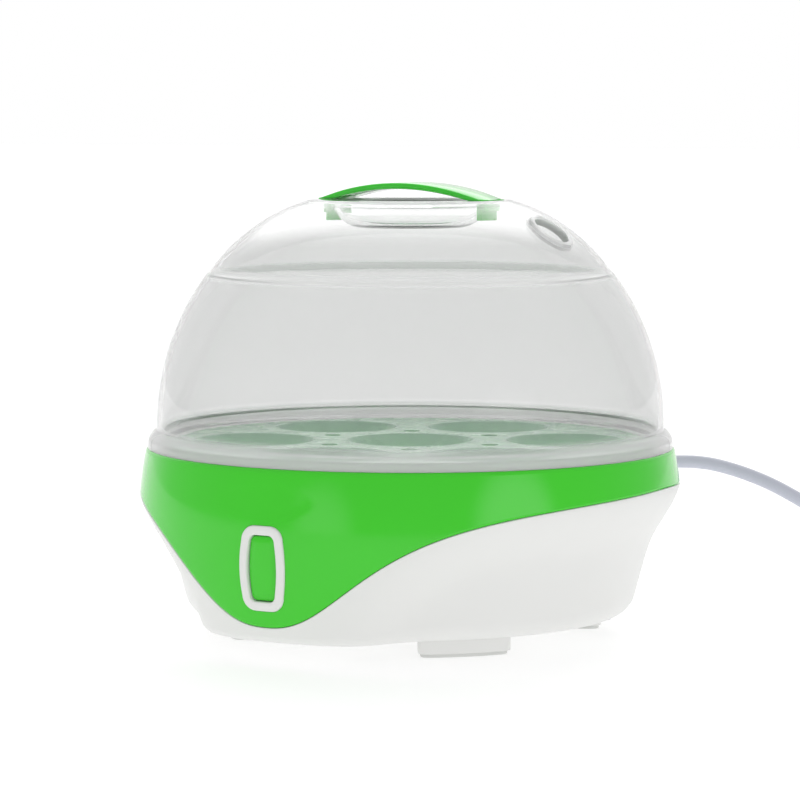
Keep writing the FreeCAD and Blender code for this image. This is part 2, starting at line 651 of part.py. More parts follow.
def build_housing():
    """White housing with its feet, cord boss, vents and screw holes; the pads under its feet."""
    feet = [foot_block(f"foot_{side}", angle, "0", "pad_wall", "base_z - pad_wall + shell_wall / 2")
            for side, angle in FOOT_ANGLES.items()]
    for side, angle in FOOT_ANGLES.items():
        keep(f"foot_pad_{side}", foot_block(f"pad_{side}", angle, "pad_inset", "0", "pad_wall"))
    boss = along_y("cord_boss", "boss_r", "boss_out_y - boss_in_y", "0", "boss_in_y", "entry_z")
    entry = along_y("cord_hole", "grommet_r + lap_gap / 2", "boss_out_y - boss_in_y + 20",
                    "0", "boss_in_y - 10", "entry_z")
    holes = [cylinder(f"floor_hole_{index}", "post_bore_r + lap_gap", "shell_wall + 2", *post_place(index),
                      "base_z - 1") for index in range(4)]
    vents = [cylinder(f"vent_{ring}_{index}", "vent_slot_r", "shell_wall + 2",
                      f"vent_ring_r * {ring} / 2 * sin({index} * 360 / (6 * {ring}))",
                      f"vent_ring_r * {ring} / 2 * cos({index} * 360 / (6 * {ring}))", "base_z - 1")
             for ring in (1, 2) for index in range(6 * ring)]
    blank = fuse("housing_blank", free("housing_skin", bowl_of_skin()), boss, *feet)
    keep("base_housing", cut("housing_cut", blank, entry, *holes, *vents))


def post_place(index):
    """Expressions for the place of one of the four posts that hold the deck."""
    return (f"post_ring_r * sin(post_deg + {index} * 90)", f"-post_ring_r * cos(post_deg + {index} * 90)")


def build_deck():
    """White deck with its four posts and screws, the seal and the heating plate on it."""
    deck = turned("deck_ring", [
        ("shelf_in_r", "shelf_z - deck_wall"),
        ("shelf_out_r + deck_wall / 2", "shelf_z - deck_wall"),
        ("ledge_r + deck_wall / 2", "ledge_z - deck_wall"),
        ("deck_rim_r", "ledge_z - deck_wall"),
        ("deck_rim_r", "ledge_z"),
        ("ledge_r", "ledge_z"),
        ("shelf_out_r", "shelf_z"),
        ("shelf_in_r", "shelf_z"),
    ])
    floor = "base_z + shell_wall"
    posts = [cylinder(f"post_{index}", "post_r", f"shelf_z - deck_wall / 2 - ({floor})", *post_place(index),
                      floor) for index in range(4)]
    bores = [cylinder(f"post_bore_{index}", "post_bore_r", "screw_length", *post_place(index), floor)
             for index in range(4)]
    keep("inner_deck", cut("deck_cut", fuse("deck_blank", deck, *posts), *bores))
    screws = []
    for index in range(4):
        place = post_place(index)
        screws.append(cylinder(f"screw_head_{index}", "screw_head_r", "screw_head", *place, "base_z - screw_head"))
        screws.append(cylinder(f"screw_shank_{index}", "post_bore_r - screw_gap", "screw_length", *place,
                               "base_z - screw_head / 2"))
    keep("deck_screws", fuse("deck_screw_set", *screws))
    keep("plate_seal", cut(
        "seal_cut", cylinder("seal_outer", "plate_lip_r", "seal_wall", z="shelf_z"),
        cylinder("seal_inner", "shelf_in_r", "seal_wall + 2", z="shelf_z - 1")))
    lip = "shelf_z + seal_wall"
    keep("heating_plate", turned("plate_turn", [
        ("0", "plate_z"),
        ("plate_dish_r", "plate_z"),
        ("plate_wall_r", lip),
        ("plate_lip_r", lip),
        ("plate_lip_r", f"{lip} + plate_wall"),
        ("plate_wall_r - plate_wall", f"{lip} + plate_wall"),
        ("plate_dish_r - plate_wall", "plate_z + plate_wall"),
        ("0", "plate_z + plate_wall"),
    ]))


UNDER_PLATE = "plate_z - spreader_wall"
ELEMENT_Z = f"{UNDER_PLATE} - element_r"
STRAP_TOP = f"{UNDER_PLATE} - 2 * element_r"


def build_heater():
    """Spreader, ring element with its pins, and the strap, stud and nut that clamp it."""
    screw_x = ("stat_screw_x", "-stat_screw_x")
    holes = [cylinder(f"spreader_hole_{index}", "stat_screw_r + screw_gap", "spreader_wall", x, "stat_y",
                      UNDER_PLATE) for index, x in enumerate(screw_x)]
    keep("heat_spreader", cut(
        "spreader_cut", cylinder("spreader_disc", "spreader_r", "spreader_wall", z=UNDER_PLATE), *holes))
    ring = tie(DOC.addObject("Part::Torus", "element_ring"), Radius1="element_ring_r", Radius2="element_r",
               Angle3="360 - element_gap_deg")
    keep("heater_element", at(ring, z=ELEMENT_Z, turn="90 + element_gap_deg / 2"))
    pins = []
    for name, side in (("right", 1), ("left", -1)):
        pins.append(cylinder(
            f"pin_{name}", "pin_r", "pin_length", f"{side} * element_ring_r * sin(element_gap_deg / 2)",
            "element_ring_r * cos(element_gap_deg / 2)", ELEMENT_Z))
        turn = value("element_gap_deg") / 2
        heading = V(-side * math.cos(math.radians(turn)), math.sin(math.radians(turn)), 0)
        pins[-1].Placement.Rotation = FreeCAD.Rotation(Z_AXIS, heading)
    keep("heater_pins", fuse("pin_pair", *pins))
    strap = box("strap_bar", "strap_length", "strap_width", "strap_wall", z=f"{STRAP_TOP} - strap_wall")
    stud_hole = cylinder("strap_hole", "stud_r + screw_gap", "strap_wall + 2", z=f"{STRAP_TOP} - strap_wall - 1")
    keep("element_strap", cut("strap_cut", strap, stud_hole))
    keep("clamp_stud", cylinder("stud_bar", "stud_r", "stud_length", z=f"{UNDER_PLATE} - stud_length"))
    nut = tie(DOC.addObject("Part::Prism", "nut_blank"), Circumradius="nut_flats_r", Height="nut_wall")
    at(nut, z=f"{STRAP_TOP} - strap_wall - nut_wall")
    nut_bore = cylinder("nut_bore", "stud_r + screw_gap / 2", "nut_wall + 2",
                        z=f"{STRAP_TOP} - strap_wall - nut_wall - 1")
    keep("clamp_nut", cut("nut_cut", nut, nut_bore))


def build_controls():
    """Thermostat with its strip and screws, and the thermal fuse in its clip."""
    low = f"{UNDER_PLATE} - stat_depth"
    body = cylinder("stat_can", "stat_r", "stat_depth", "0", "stat_y", low)
    flange = cylinder("stat_flange", "stat_flange_r", "stat_flange", "0", "stat_y", f"{UNDER_PLATE} - stat_flange")
    tabs = [box(f"stat_tab_{side}", "tab_width", "tab_wall", "tab_height + 1", f"{side} * stat_tab_x",
                "stat_y", f"{low} - tab_height") for side in (-1, 1)]
    keep("thermostat", fuse("stat_parts", body, flange, *tabs))
    strip_top = f"{UNDER_PLATE} - stat_flange"
    strip = box("strip_bar", "strip_length", "strip_width", "strip_wall", "0", "stat_y", f"{strip_top} - strip_wall")
    can_hole = cylinder("strip_can_hole", "stat_r + screw_gap", "strip_wall + 2", "0", "stat_y",
                        f"{strip_top} - strip_wall - 1")
    screw_x = ("stat_screw_x", "-stat_screw_x")
    strip_holes = [cylinder(f"strip_hole_{index}", "stat_screw_r + screw_gap", "strip_wall + 2", x, "stat_y",
                            f"{strip_top} - strip_wall - 1") for index, x in enumerate(screw_x)]
    ends = fuse("strip_with_rim", strip, cylinder("strip_rim", "stat_flange_r", "strip_wall", "0", "stat_y",
                                                  f"{strip_top} - strip_wall"))
    keep("thermostat_strip", cut("strip_cut", ends, can_hole, *strip_holes))
    screws = []
    for index, x in enumerate(screw_x):
        head_top = f"{strip_top} - strip_wall"
        screws.append(cylinder(f"stat_head_{index}", "small_head_r", "small_head", x, "stat_y",
                               f"{head_top} - small_head"))
        screws.append(cylinder(f"stat_shank_{index}", "stat_screw_r", f"{UNDER_PLATE} + spreader_wall / 2 "
                               f"- ({head_top}) + small_head / 2", x, "stat_y", f"{head_top} - small_head / 2"))
    keep("thermostat_screws", fuse("stat_screw_set", *screws))
    fuse_z = f"{UNDER_PLATE} - fuse_r - lap_gap"
    keep("thermal_fuse", along_x("fuse_can", "fuse_r", "fuse_length", "fuse_x - fuse_length / 2", "fuse_y", fuse_z))
    saddle = box("clip_block", "fuse_clip_width", "fuse_clip_span", "2 * fuse_r + lap_gap + strip_wall", "fuse_x",
                 "fuse_y", f"{UNDER_PLATE} - 2 * fuse_r - lap_gap - strip_wall")
    channel = along_x("clip_channel", "fuse_r + lap_gap / 4", "fuse_length", "fuse_x - fuse_length / 2", "fuse_y",
                      fuse_z)
    keep("fuse_clip", cut("clip_cut", saddle, channel))


FLOOR = "base_z + shell_wall"
CORD_REST = f"{FLOOR} + clamp_wall"
INNER_CORD_Z = f"{CORD_REST} + cord_r"
BLOCK_TOP = f"{FLOOR} + block_height"


def build_terminals():
    """Terminal block, cord clamp with its screws, and the strain relief at the back."""
    screw_places = [(f"block_x + {step} * block_width / 3", "block_y") for step in (-1, 0, 1)]
    block = box("block_body", "block_width", "block_depth", "block_height", "block_x", "block_y", FLOOR)
    wells = [cylinder(f"block_well_{index}", "block_screw_r + screw_gap", "block_height / 2", *place,
                      f"{BLOCK_TOP} - block_height / 3") for index, place in enumerate(screw_places)]
    keep("terminal_block", cut("block_cut", block, *wells))
    keep("terminal_screws", fuse("terminal_screw_set", *[
        cylinder(f"block_screw_{index}", "block_screw_r", "block_height / 3 + small_head / 2", *place,
                 f"{BLOCK_TOP} - block_height / 3") for index, place in enumerate(screw_places)]))
    bar_low = f"{CORD_REST} + 2 * cord_r"
    sides = ("clamp_screw_x", "-clamp_screw_x")
    rest = box("clamp_rest_bar", "clamp_width", "clamp_depth", "clamp_wall", "0", "clamp_y", FLOOR)
    pillars = [box(f"clamp_pillar_{index}", "clamp_screw_x", "clamp_depth", "clamp_wall + 2 * cord_r", x, "clamp_y",
                   FLOOR) for index, x in enumerate(sides)]
    drilled = [cylinder(f"clamp_thread_{index}", "clamp_screw_r + screw_gap", "clamp_wall + 2 * cord_r", x,
                        "clamp_y", FLOOR) for index, x in enumerate(sides)]
    keep("clamp_base", cut("clamp_base_cut", fuse("clamp_base_blank", rest, *pillars), *drilled))
    bar = box("clamp_bar_block", "clamp_width", "clamp_depth", "clamp_wall", "0", "clamp_y", bar_low)
    bar_holes = [cylinder(f"clamp_hole_{index}", "clamp_screw_r + screw_gap", "clamp_wall + 2", x, "clamp_y",
                          f"{bar_low} - 1") for index, x in enumerate(sides)]
    keep("clamp_bar", cut("clamp_bar_cut", bar, *bar_holes))
    screws = []
    for index, x in enumerate(sides):
        top = f"{bar_low} + clamp_wall"
        screws.append(cylinder(f"clamp_head_{index}", "small_head_r", "small_head", x, "clamp_y", top))
        screws.append(cylinder(f"clamp_shank_{index}", "clamp_screw_r", "clamp_wall + 2 * cord_r", x, "clamp_y",
                               f"{top} - clamp_wall - 2 * cord_r + small_head / 2"))
    keep("clamp_screws", fuse("clamp_screw_set", *screws))
    face = "boss_out_y"
    keep("strain_relief", fuse(
        "relief_parts",
        along_y("relief_shank", "grommet_r", f"{face} - boss_in_y + 1", "0", "boss_in_y",
                "entry_z"),
        along_y("relief_flange", "grommet_flange_r", "grommet_flange", "0", face, "entry_z"),
        cone("relief_taper", "grommet_root_r", "grommet_tip_r", "grommet_out", "0",
             f"{face} + grommet_flange", "entry_z", X_AXIS, "-90")))


# ---------------------------------------------------------------- rack and lid

def build_rack():
    """Green egg rack: a disc with a skirt, seven dished seats and small steam holes."""
    disc = cylinder("rack_disc", "rack_r", "rack_wall", z="rack_top_z - rack_wall")
    skirt = cut("rack_skirt_ring",
                cylinder("skirt_outer", "rack_r", "rack_top_z - ledge_z - rack_wall / 2", z="ledge_z"),
                cylinder("skirt_inner", "rack_r - rack_skirt", "rack_top_z - ledge_z + 2", z="ledge_z - 1"))
    places = [("0", "0")]
    places += [(f"seat_ring_r * sin({index} * 60)", f"-seat_ring_r * cos({index} * 60)") for index in range(6)]
    cups = [cone(f"seat_cup_{index}", "seat_hole_r + seat_wall", "seat_r + seat_wall", "seat_depth", *place,
                 "rack_top_z - seat_depth") for index, place in enumerate(places)]
    hollows = [cone(f"seat_hollow_{index}", "seat_hole_r", "seat_r", "seat_depth", *place,
                    "rack_top_z - seat_depth") for index, place in enumerate(places)]
    steam = [cylinder(f"steam_{index}", "steam_slot_r", "rack_wall + 2",
                      f"steam_ring_r * sin({index} * 60 + 30)", f"steam_ring_r * cos({index} * 60 + 30)",
                      "rack_top_z - rack_wall - 1") for index in range(6)]
    keep("egg_rack", cut("rack_cut", fuse("rack_blank", disc, skirt, *cups), *hollows, *steam))


def vent_spot(out):
    """Expressions for the point on the steam hole's axis at a distance out of the lid's surface."""
    return (f"vent_x + ({out}) * sin(vent_tilt_deg)", "0", f"vent_z + ({out}) * cos(vent_tilt_deg)")


def build_lid():
    """Clear dome with its ledge, flared foot, finger recess, steam hole and slots for the handle."""
    floor = "plateau_z - recess_depth"
    dome = turned("dome_turn", [
        ("flange_in_r", "rim_z"),
        ("flange_r", "rim_z"),
        ("flange_r", "flange_z", ("flare_mid_r", "flare_mid_z")),
        ("wall_base_r", "wall_base_z", ("wall_mid_r", "wall_mid_z")),
        ("step_r", "step_z"),
        ("step_r - step_in", "step_z + step_in", ("crown_mid_r", "crown_mid_z")),
        ("plateau_r", "plateau_z"),
        ("recess_r", "plateau_z", ("recess_mid_r", "plateau_z - recess_mid_drop")),
        ("recess_floor_r", floor),
        ("0", floor),
        ("0", f"{floor} - lid_wall"),
        ("recess_floor_r", f"{floor} - lid_wall",
         ("recess_mid_r + lid_wall * sqrt(0.5)", "plateau_z - recess_mid_drop - lid_wall * sqrt(0.5)")),
        ("recess_r + lid_wall", "plateau_z - lid_wall"),
        ("plateau_r", "plateau_z - lid_wall",
         ("crown_mid_r - lid_wall * sqrt(0.4)", "crown_mid_z - lid_wall * sqrt(0.6)")),
        ("step_r - step_in - lid_wall", "step_z + step_in - lid_wall / 3"),
        ("step_r - lid_wall", "step_z - lid_wall / 3", ("wall_mid_r - lid_wall", "wall_mid_z - lid_wall / 8")),
        ("wall_base_r - lid_wall", "wall_base_z"),
    ])
    collar = cylinder("vent_collar", "vent_collar_r", "lid_wall / 2 + vent_proud", *vent_spot("-lid_wall / 2"),
                      Y_AXIS, "vent_tilt_deg")
    hole = cylinder("vent_hole", "vent_r", "8 * lid_wall", *vent_spot("-4 * lid_wall"), Y_AXIS, "vent_tilt_deg")
    slots = [box(f"leg_slot_{side}", "leg_wall + 2 * leg_gap", "leg_width + 2 * leg_gap", "4 * lid_wall",
                 f"{side} * leg_x", "0", "plateau_z - 2 * lid_wall") for side in (-1, 1)]
    keep("lid_dome", cut("dome_cut", fuse("dome_blank", dome, collar), hole, *slots))


def build_handle():
    """Green arched handle with a hooked leg through the dome at each end."""
    half = "(handle_chord / 2)"
    strap = block_y("handle_strap", [
        (f"-{half}", "plateau_z"),
        (f"-{half} + handle_foot", "plateau_z", ("0", "plateau_z + handle_rise - handle_wall")),
        (f"{half} - handle_foot", "plateau_z"),
        (half, "plateau_z", ("0", "plateau_z + handle_rise")),
    ], "handle_width", "handle_width / 2")
    legs = []
    for side in (-1, 1):
        legs.append(box(f"leg_{side}", "leg_wall", "leg_width", "leg_drop + handle_wall / 8", f"{side} * leg_x", "0",
                        "plateau_z - leg_drop"))
        legs.append(box(f"hook_{side}", "hook_out + leg_wall / 2", "leg_width", "hook_height",
                        f"{side} * (leg_x + leg_wall / 4 + hook_out / 2)", "0",
                        "plateau_z - lid_wall - leg_gap - hook_height"))
    keep("lid_handle", fuse("handle_parts", strap, *legs))


# ---------------------------------------------------------------- cord, coil, plug and wires

# Places that the cord's middle line turns at between its exit and the coil: sideways, behind the exit, and height.
LEAD_POINTS = [
    (0.0, 17.2, 42.0), (11.0, 34.7, 44.4), (33.0, 45.7, 45.6), (58.0, 52.2, 38.5),
    (82.0, 59.2, 24.0), (103.5, 66.8, 10.0), (122.0, 75.6, 2.9), (144.3, 88.5, 2.7),
]
# From the coil to the plug.
TAIL_POINTS = [
    (153.6, 126.3, 2.7), (142.3, 145.2, 3.2), (123.1, 156.0, 7.0), (101.0, 156.0, 7.0),
]


def bent_tube(name, points, radius):
    """Tube of straight runs joined by tangent arcs, each arc as large as its two runs allow."""
    spots = [V(*point) for point in points]
    edges, radii, start = [], [], spots[0]
    for before, corner, after in zip(spots, spots[1:], spots[2:]):
        into, out = (corner - before), (after - corner)
        reach = 0.45 * min(into.Length, out.Length)
        into.normalize()
        out.normalize()
        half_turn = into.getAngle(out) / 2
        arc_start, arc_end = corner - into * reach, corner + out * reach
        bend_radius = reach / math.tan(half_turn)
        inward = out - into
        inward.normalize()
        middle = corner + inward * (bend_radius / math.cos(half_turn) - bend_radius)
        edges.append(Part.LineSegment(start, arc_start).toShape())
        edges.append(Part.Arc(arc_start, middle, arc_end).toShape())
        radii.append(round(bend_radius, 1))
        start = arc_end
    edges.append(Part.LineSegment(start, spots[-1]).toShape())
    path = Part.Wire(edges)
    ring = Part.Wire(Part.makeCircle(radius, spots[0], spots[1] - spots[0]))
    solid = path.makePipeShell([ring], True, True)
    expected = math.pi * radius ** 2 * path.Length
    print(f"{name}: length {path.Length:.1f}, radii {radii}, volume ratio {solid.Volume / expected:.4f}")
    return solid


def build_cord():
    """Free cord: the stretch to the coil, the coil in its tie, the tail and the plug with its pins."""
    exit_y, cord_r = value("exit_y"), value("cord_r")
    lead, tail = ([(x, exit_y + behind, z) for x, behind, z in route] for route in (LEAD_POINTS, TAIL_POINTS))
    exit_point = (0.0, exit_y, value("entry_z"))
    keep("power_cord", free("lead_tube", bent_tube("power_cord", [exit_point] + lead, cord_r)))
    keep("cord_tail", free("tail_tube", bent_tube("cord_tail", tail, cord_r)))
    low, high = "coil_low_z", "coil_low_z + coil_height"
    inside, outside = "coil_mean_r - coil_width / 2", "coil_mean_r + coil_width / 2"
    round_r = "coil_width / 4"
    bend = f"{round_r} * (1 - sqrt(0.5))"
    coil = turned("coil_turn", [
        (f"{inside} + {round_r}", low),
        (f"{outside} - {round_r}", low, (f"{outside} - {bend}", f"{low} + {bend}")),
        (outside, f"{low} + {round_r}"),
        (outside, f"{high} - {round_r}", (f"{outside} - {bend}", f"{high} - {bend}")),
        (f"{outside} - {round_r}", high),
        (f"{inside} + {round_r}", high, (f"{inside} + {bend}", f"{high} - {bend}")),
        (inside, f"{high} - {round_r}"),
        (inside, f"{low} + {round_r}", (f"{inside} + {bend}", f"{low} + {bend}")),
    ])
    keep("cord_coil", at(coil, "coil_x", "coil_y", "0"))
    window_z = "coil_low_z - tie_gap"
    window = ("coil_width + 2 * tie_gap", "tie_width + 2", "coil_height + 2 * tie_gap")
    sleeve = ("coil_width + 2 * tie_gap + 2 * tie_wall", "tie_width", "coil_height + 2 * tie_gap + 2 * tie_wall")
    where = ("coil_x - coil_mean_r", "coil_y")
    keep("cord_tie", cut("tie_cut", box("tie_sleeve", *sleeve, *where, f"{window_z} - tie_wall"),
                         box("tie_window", *window, *where, window_z)))
    build_plug()


def block_z(name, corners, low, height):
    """Body whose outline lies in XY and rises from low by height."""
    body, sketch = new_sketch(name, "XY_Plane")
    draw(sketch, corners)
    feature = body.newObject("PartDesign::Pad", f"{name}_pad")
    feature.Profile = sketch
    tie(feature, Length=height)
    return at(body, z=low)


def build_plug():
    """Two-pin plug that lies behind the coil, its pins towards -X."""
    middle = "plug_height / 2"
    back, front = "plug_x - plug_neck_length", "plug_x - plug_neck_length - plug_length"
    shoulder = f"{back} - plug_taper"
    body = block_z("plug_block", [
        (back, "plug_y - plug_back_width / 2"),
        (back, "plug_y + plug_back_width / 2"),
        (shoulder, "plug_y + plug_width / 2"),
        (front, "plug_y + plug_width / 2"),
        (front, "plug_y - plug_width / 2"),
        (shoulder, "plug_y - plug_width / 2"),
    ], "0", "plug_height")
    neck = cone("plug_neck", "grommet_tip_r", "plug_neck_r", "plug_neck_length + 1", "plug_x", "plug_y", middle,
                Y_AXIS, "-90")
    rows = [f"plug_y + {side} * plug_pin_pitch / 2" for side in (-1, 1)]
    sockets = [along_x(f"pin_socket_{index}", "plug_pin_r", "plug_pin_held", front, row, middle)
               for index, row in enumerate(rows)]
    keep("plug_body", cut("plug_cut", fuse("plug_blank", body, neck), *sockets))
    keep("plug_pins", fuse("plug_pin_pair", *[
        along_x(f"plug_pin_{index}", "plug_pin_r", "plug_pin_length + plug_pin_held",
                f"{front} - plug_pin_length", row, middle) for index, row in enumerate(rows)]))


def build_wires():
    """Cord's inner end in the clamp, and the wires between block, switch, thermostat, element and fuse."""
    cord_z = value(INNER_CORD_Z)
    entry_y, entry_z = value("boss_in_y"), value("entry_z")
    clamp_y, floor = value("clamp_y"), value(FLOOR)
    inner_end = clamp_y - value("clamp_depth") / 2 - 2
    inner = [(0, entry_y, entry_z), (0, entry_y - 5, entry_z), (0, entry_y - 10, entry_z - 5),
             (0, entry_y - 11, entry_z - 13), (0, clamp_y + 13, cord_z + 6.5), (0, clamp_y + 7.8, cord_z),
             (0, inner_end, cord_z)]
    keep("inner_cord", free("inner_cord_tube", bent_tube("inner_cord", inner, value("cord_r"))))
    gap = 0.1
    block_x, block_y = value("block_x"), value("block_y")
    block_front = block_y - value("block_depth") / 2 - gap
    switch_y = value(f"{SWITCH_FRONT} + switch_depth / 2")
    tab_x = value("(switch_width + tab_width) / 2")
    tab_z = value("button_z - switch_height / 2 + tab_width") - gap
    stat_y, stat_x = value("stat_y"), value("stat_tab_x")
    stat_z = value(f"{UNDER_PLATE} - stat_depth - tab_height") - gap
    turn, ring_r = math.radians(value("element_gap_deg") / 2), value("element_ring_r")
    pin_reach = value("pin_length") + gap
    pin_x = ring_r * math.sin(turn) - pin_reach * math.cos(turn)
    pin_y = ring_r * math.cos(turn) + pin_reach * math.sin(turn)
    pin_z = value(ELEMENT_Z)
    fuse_z = value(f"{UNDER_PLATE} - fuse_r - lap_gap")
    fuse_left = value("fuse_x - fuse_length / 2") - gap
    fuse_right = value("fuse_x + fuse_length / 2") + gap
    fuse_y = value("fuse_y")
    low = floor + 4
    routes = {
        "supply_wire_live": [
            (1.2, inner_end - gap, cord_z), (1.3, inner_end - 6, cord_z), (7, inner_end - 10, cord_z),
            (block_x - 11, inner_end - 10, cord_z), (block_x - 8.5, inner_end - 7, cord_z),
            (block_x - 8.5, block_front, cord_z)],
        "supply_wire_neutral": [
            (-1.2, inner_end - gap, cord_z), (-1.1, inner_end - 7, cord_z + 0.5), (5, inner_end - 14, cord_z + 3.5),
            (block_x - 10, inner_end - 14, cord_z + 3.5), (block_x - 5, inner_end - 10, cord_z + 3.5),
            (block_x - 5, block_front, cord_z + 3.5)],
        "wire_block_to_switch": [
            (block_x + 3, block_front, low), (block_x + 3, block_front - 22, low), (block_x, 0, low),
            (block_x - 3, -28, low), (15, -56, low + 1), (tab_x + 4, switch_y + 4, low + 4),
            (tab_x, switch_y, tab_z - 4), (tab_x, switch_y, tab_z)],
        "wire_switch_to_thermostat": [
            (-tab_x, switch_y, tab_z), (-tab_x, switch_y, tab_z - 4), (-tab_x - 6, switch_y + 2, low + 5),
            (-tab_x - 7, switch_y + 12, low + 2), (-12, -50, low), (-7, -36, low),
            (-stat_x, stat_y, stat_z - 5), (-stat_x, stat_y, stat_z)],
        "wire_thermostat_to_fuse": [
            (stat_x, stat_y, stat_z), (stat_x, stat_y, stat_z - 5), (6, stat_y + 13, low + 4), (9, 2, low + 8),
            (10, fuse_y - 3, fuse_z - 10), (fuse_left - 5, fuse_y, fuse_z), (fuse_left, fuse_y, fuse_z)],
        "wire_fuse_to_element": [
            (fuse_right, fuse_y, fuse_z), (fuse_right + 3, fuse_y, fuse_z), (fuse_right + 4, fuse_y + 8, fuse_z - 9),
            (22, 34, low + 10), (6, pin_y + 5, low + 12), (pin_x - 7, pin_y + 3.3, pin_z), (pin_x, pin_y, pin_z)],
        "wire_block_to_element": [
            (block_x - 1, block_front, low + 5), (block_x - 1, block_front - 4, low + 5.5),
            (10, block_front - 7, low + 9), (-6, block_front - 5, low + 12),
            (4 - pin_x, pin_y + 3, pin_z - 6), (5.4 - pin_x, pin_y + 2.5, pin_z), (-pin_x, pin_y, pin_z)],
    }
    for node, points in routes.items():
        keep(node, free(f"{node}_tube", bent_tube(node, points, value("wire_r"))))


# ---------------------------------------------------------------- build, check and write

def build():
    """Makes every piece."""
    build_housing()
    build_band()
    build_bezel()
    build_button()
    build_deck()
    build_heater()
    build_controls()
    build_terminals()
    build_rack()
    build_lid()
    build_handle()
    build_cord()
    build_wires()
    DOC.recompute()


def write_parts():
    """Stops on any failed object or bad solid, then writes one STEP file for each piece."""
    failed = [item.Name for item in DOC.Objects if {"Invalid", "Error"} & set(item.State)]
    if failed:
        raise RuntimeError(f"failed objects: {failed}")
    for node, item in PIECES.items():
        if item.Shape.isNull() or not item.Shape.isValid() or not item.Shape.Solids:
            raise RuntimeError(f"{node} is not a valid solid")
    os.makedirs("parts", exist_ok=True)
    for node, item in PIECES.items():
        item.Shape.exportStep(os.path.join("parts", f"{node}.step"))
        print(f"{node}: {len(item.Shape.Solids)} solid(s), {item.Shape.Volume:.1f} mm3")


build()
write_parts()
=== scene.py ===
"""Looks of the round egg cooker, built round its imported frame.

Sizes are in millimetres until a point is placed, +Z is up and the front faces -Y. Angles round the
body are in degrees from the front, growing towards +X.
"""

import logging
import math
from collections.abc import Callable, Iterable, Sequence
from dataclasses import dataclass, field
from enum import Enum

import bmesh
import bpy
from mathutils import Matrix, Vector


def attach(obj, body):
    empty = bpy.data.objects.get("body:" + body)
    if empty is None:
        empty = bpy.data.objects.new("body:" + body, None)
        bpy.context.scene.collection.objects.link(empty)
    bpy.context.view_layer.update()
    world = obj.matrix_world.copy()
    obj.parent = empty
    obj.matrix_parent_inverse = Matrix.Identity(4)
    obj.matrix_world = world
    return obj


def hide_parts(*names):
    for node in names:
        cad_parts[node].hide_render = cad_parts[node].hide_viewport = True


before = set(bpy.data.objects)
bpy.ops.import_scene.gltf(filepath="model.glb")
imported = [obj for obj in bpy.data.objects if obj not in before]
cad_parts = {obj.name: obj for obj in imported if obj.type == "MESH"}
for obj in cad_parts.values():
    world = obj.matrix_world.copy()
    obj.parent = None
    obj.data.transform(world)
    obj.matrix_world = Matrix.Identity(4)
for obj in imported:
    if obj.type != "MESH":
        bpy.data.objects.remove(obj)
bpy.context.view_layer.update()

LOG = logging.getLogger("egg_cooker")
MM = 0.001
# radius in millimetres that stands for a point on the axis
AXIS_SPECK = 0.002
# distance in metres under which two points are merged
MERGE = 0.00001
# middle part of a noise pattern, where nearly all of it lies
NOISE_SPAN = (0.3, 0.7)
# width in millimetres of the soft edge round a spot of a finish
EDGE_FADE = 0.5
# turn that lays an upright shape down along another axis
LAID = math.radians(-90)
# height at which the cord enters the housing
ENTRY_Z = 42.0
# middle of the lid's steam hole
VENT_PLACE = (55.5, 0.0, 140.4)

Row = Callable[[float], tuple[float, float]]
Ring = list[Vector]
Pair = tuple[float, float]


class Body(Enum):
    """Moving bodies of the cooker."""

    BASE = "base"
    BUTTON = "button"
    LID = "lid"
    RACK = "rack"


class Slot(Enum):
    """Material slots of the cooker's record."""

    GREEN = "green_plastic"
    WHITE = "white_plastic"
    CLEAR = "clear_plastic"
    DECK = "deck_plastic"
    PLATE = "plate_steel"
    ALUMINIUM = "aluminium"
    ZINC = "zinc_steel"
    BRASS = "brass"
    SILICONE = "silicone"
    RUBBER = "pad_rubber"
    CORD = "cord_pvc"
    BLACK = "black_plastic"
    RED_WIRE = "wire_red"
    BLUE_WIRE = "wire_blue"
    WHITE_WIRE = "wire_white"
    PLUG_METAL = "plug_metal"
    TIE = "tie_plastic"


# ---------------------------------------------------------------- finishes


def set_range(node: bpy.types.Node, amounts: Sequence[float]) -> None:
    """Sets what a range node maps, and what it maps it to.

    Args:
        node: The range node.
        amounts: Lowest and highest input, then the outputs for them where those aren't 0 and 1.
    """
    for name, amount in zip(("From Min", "From Max", "To Min", "To Max"), amounts):
        node.inputs[name].default_value = amount


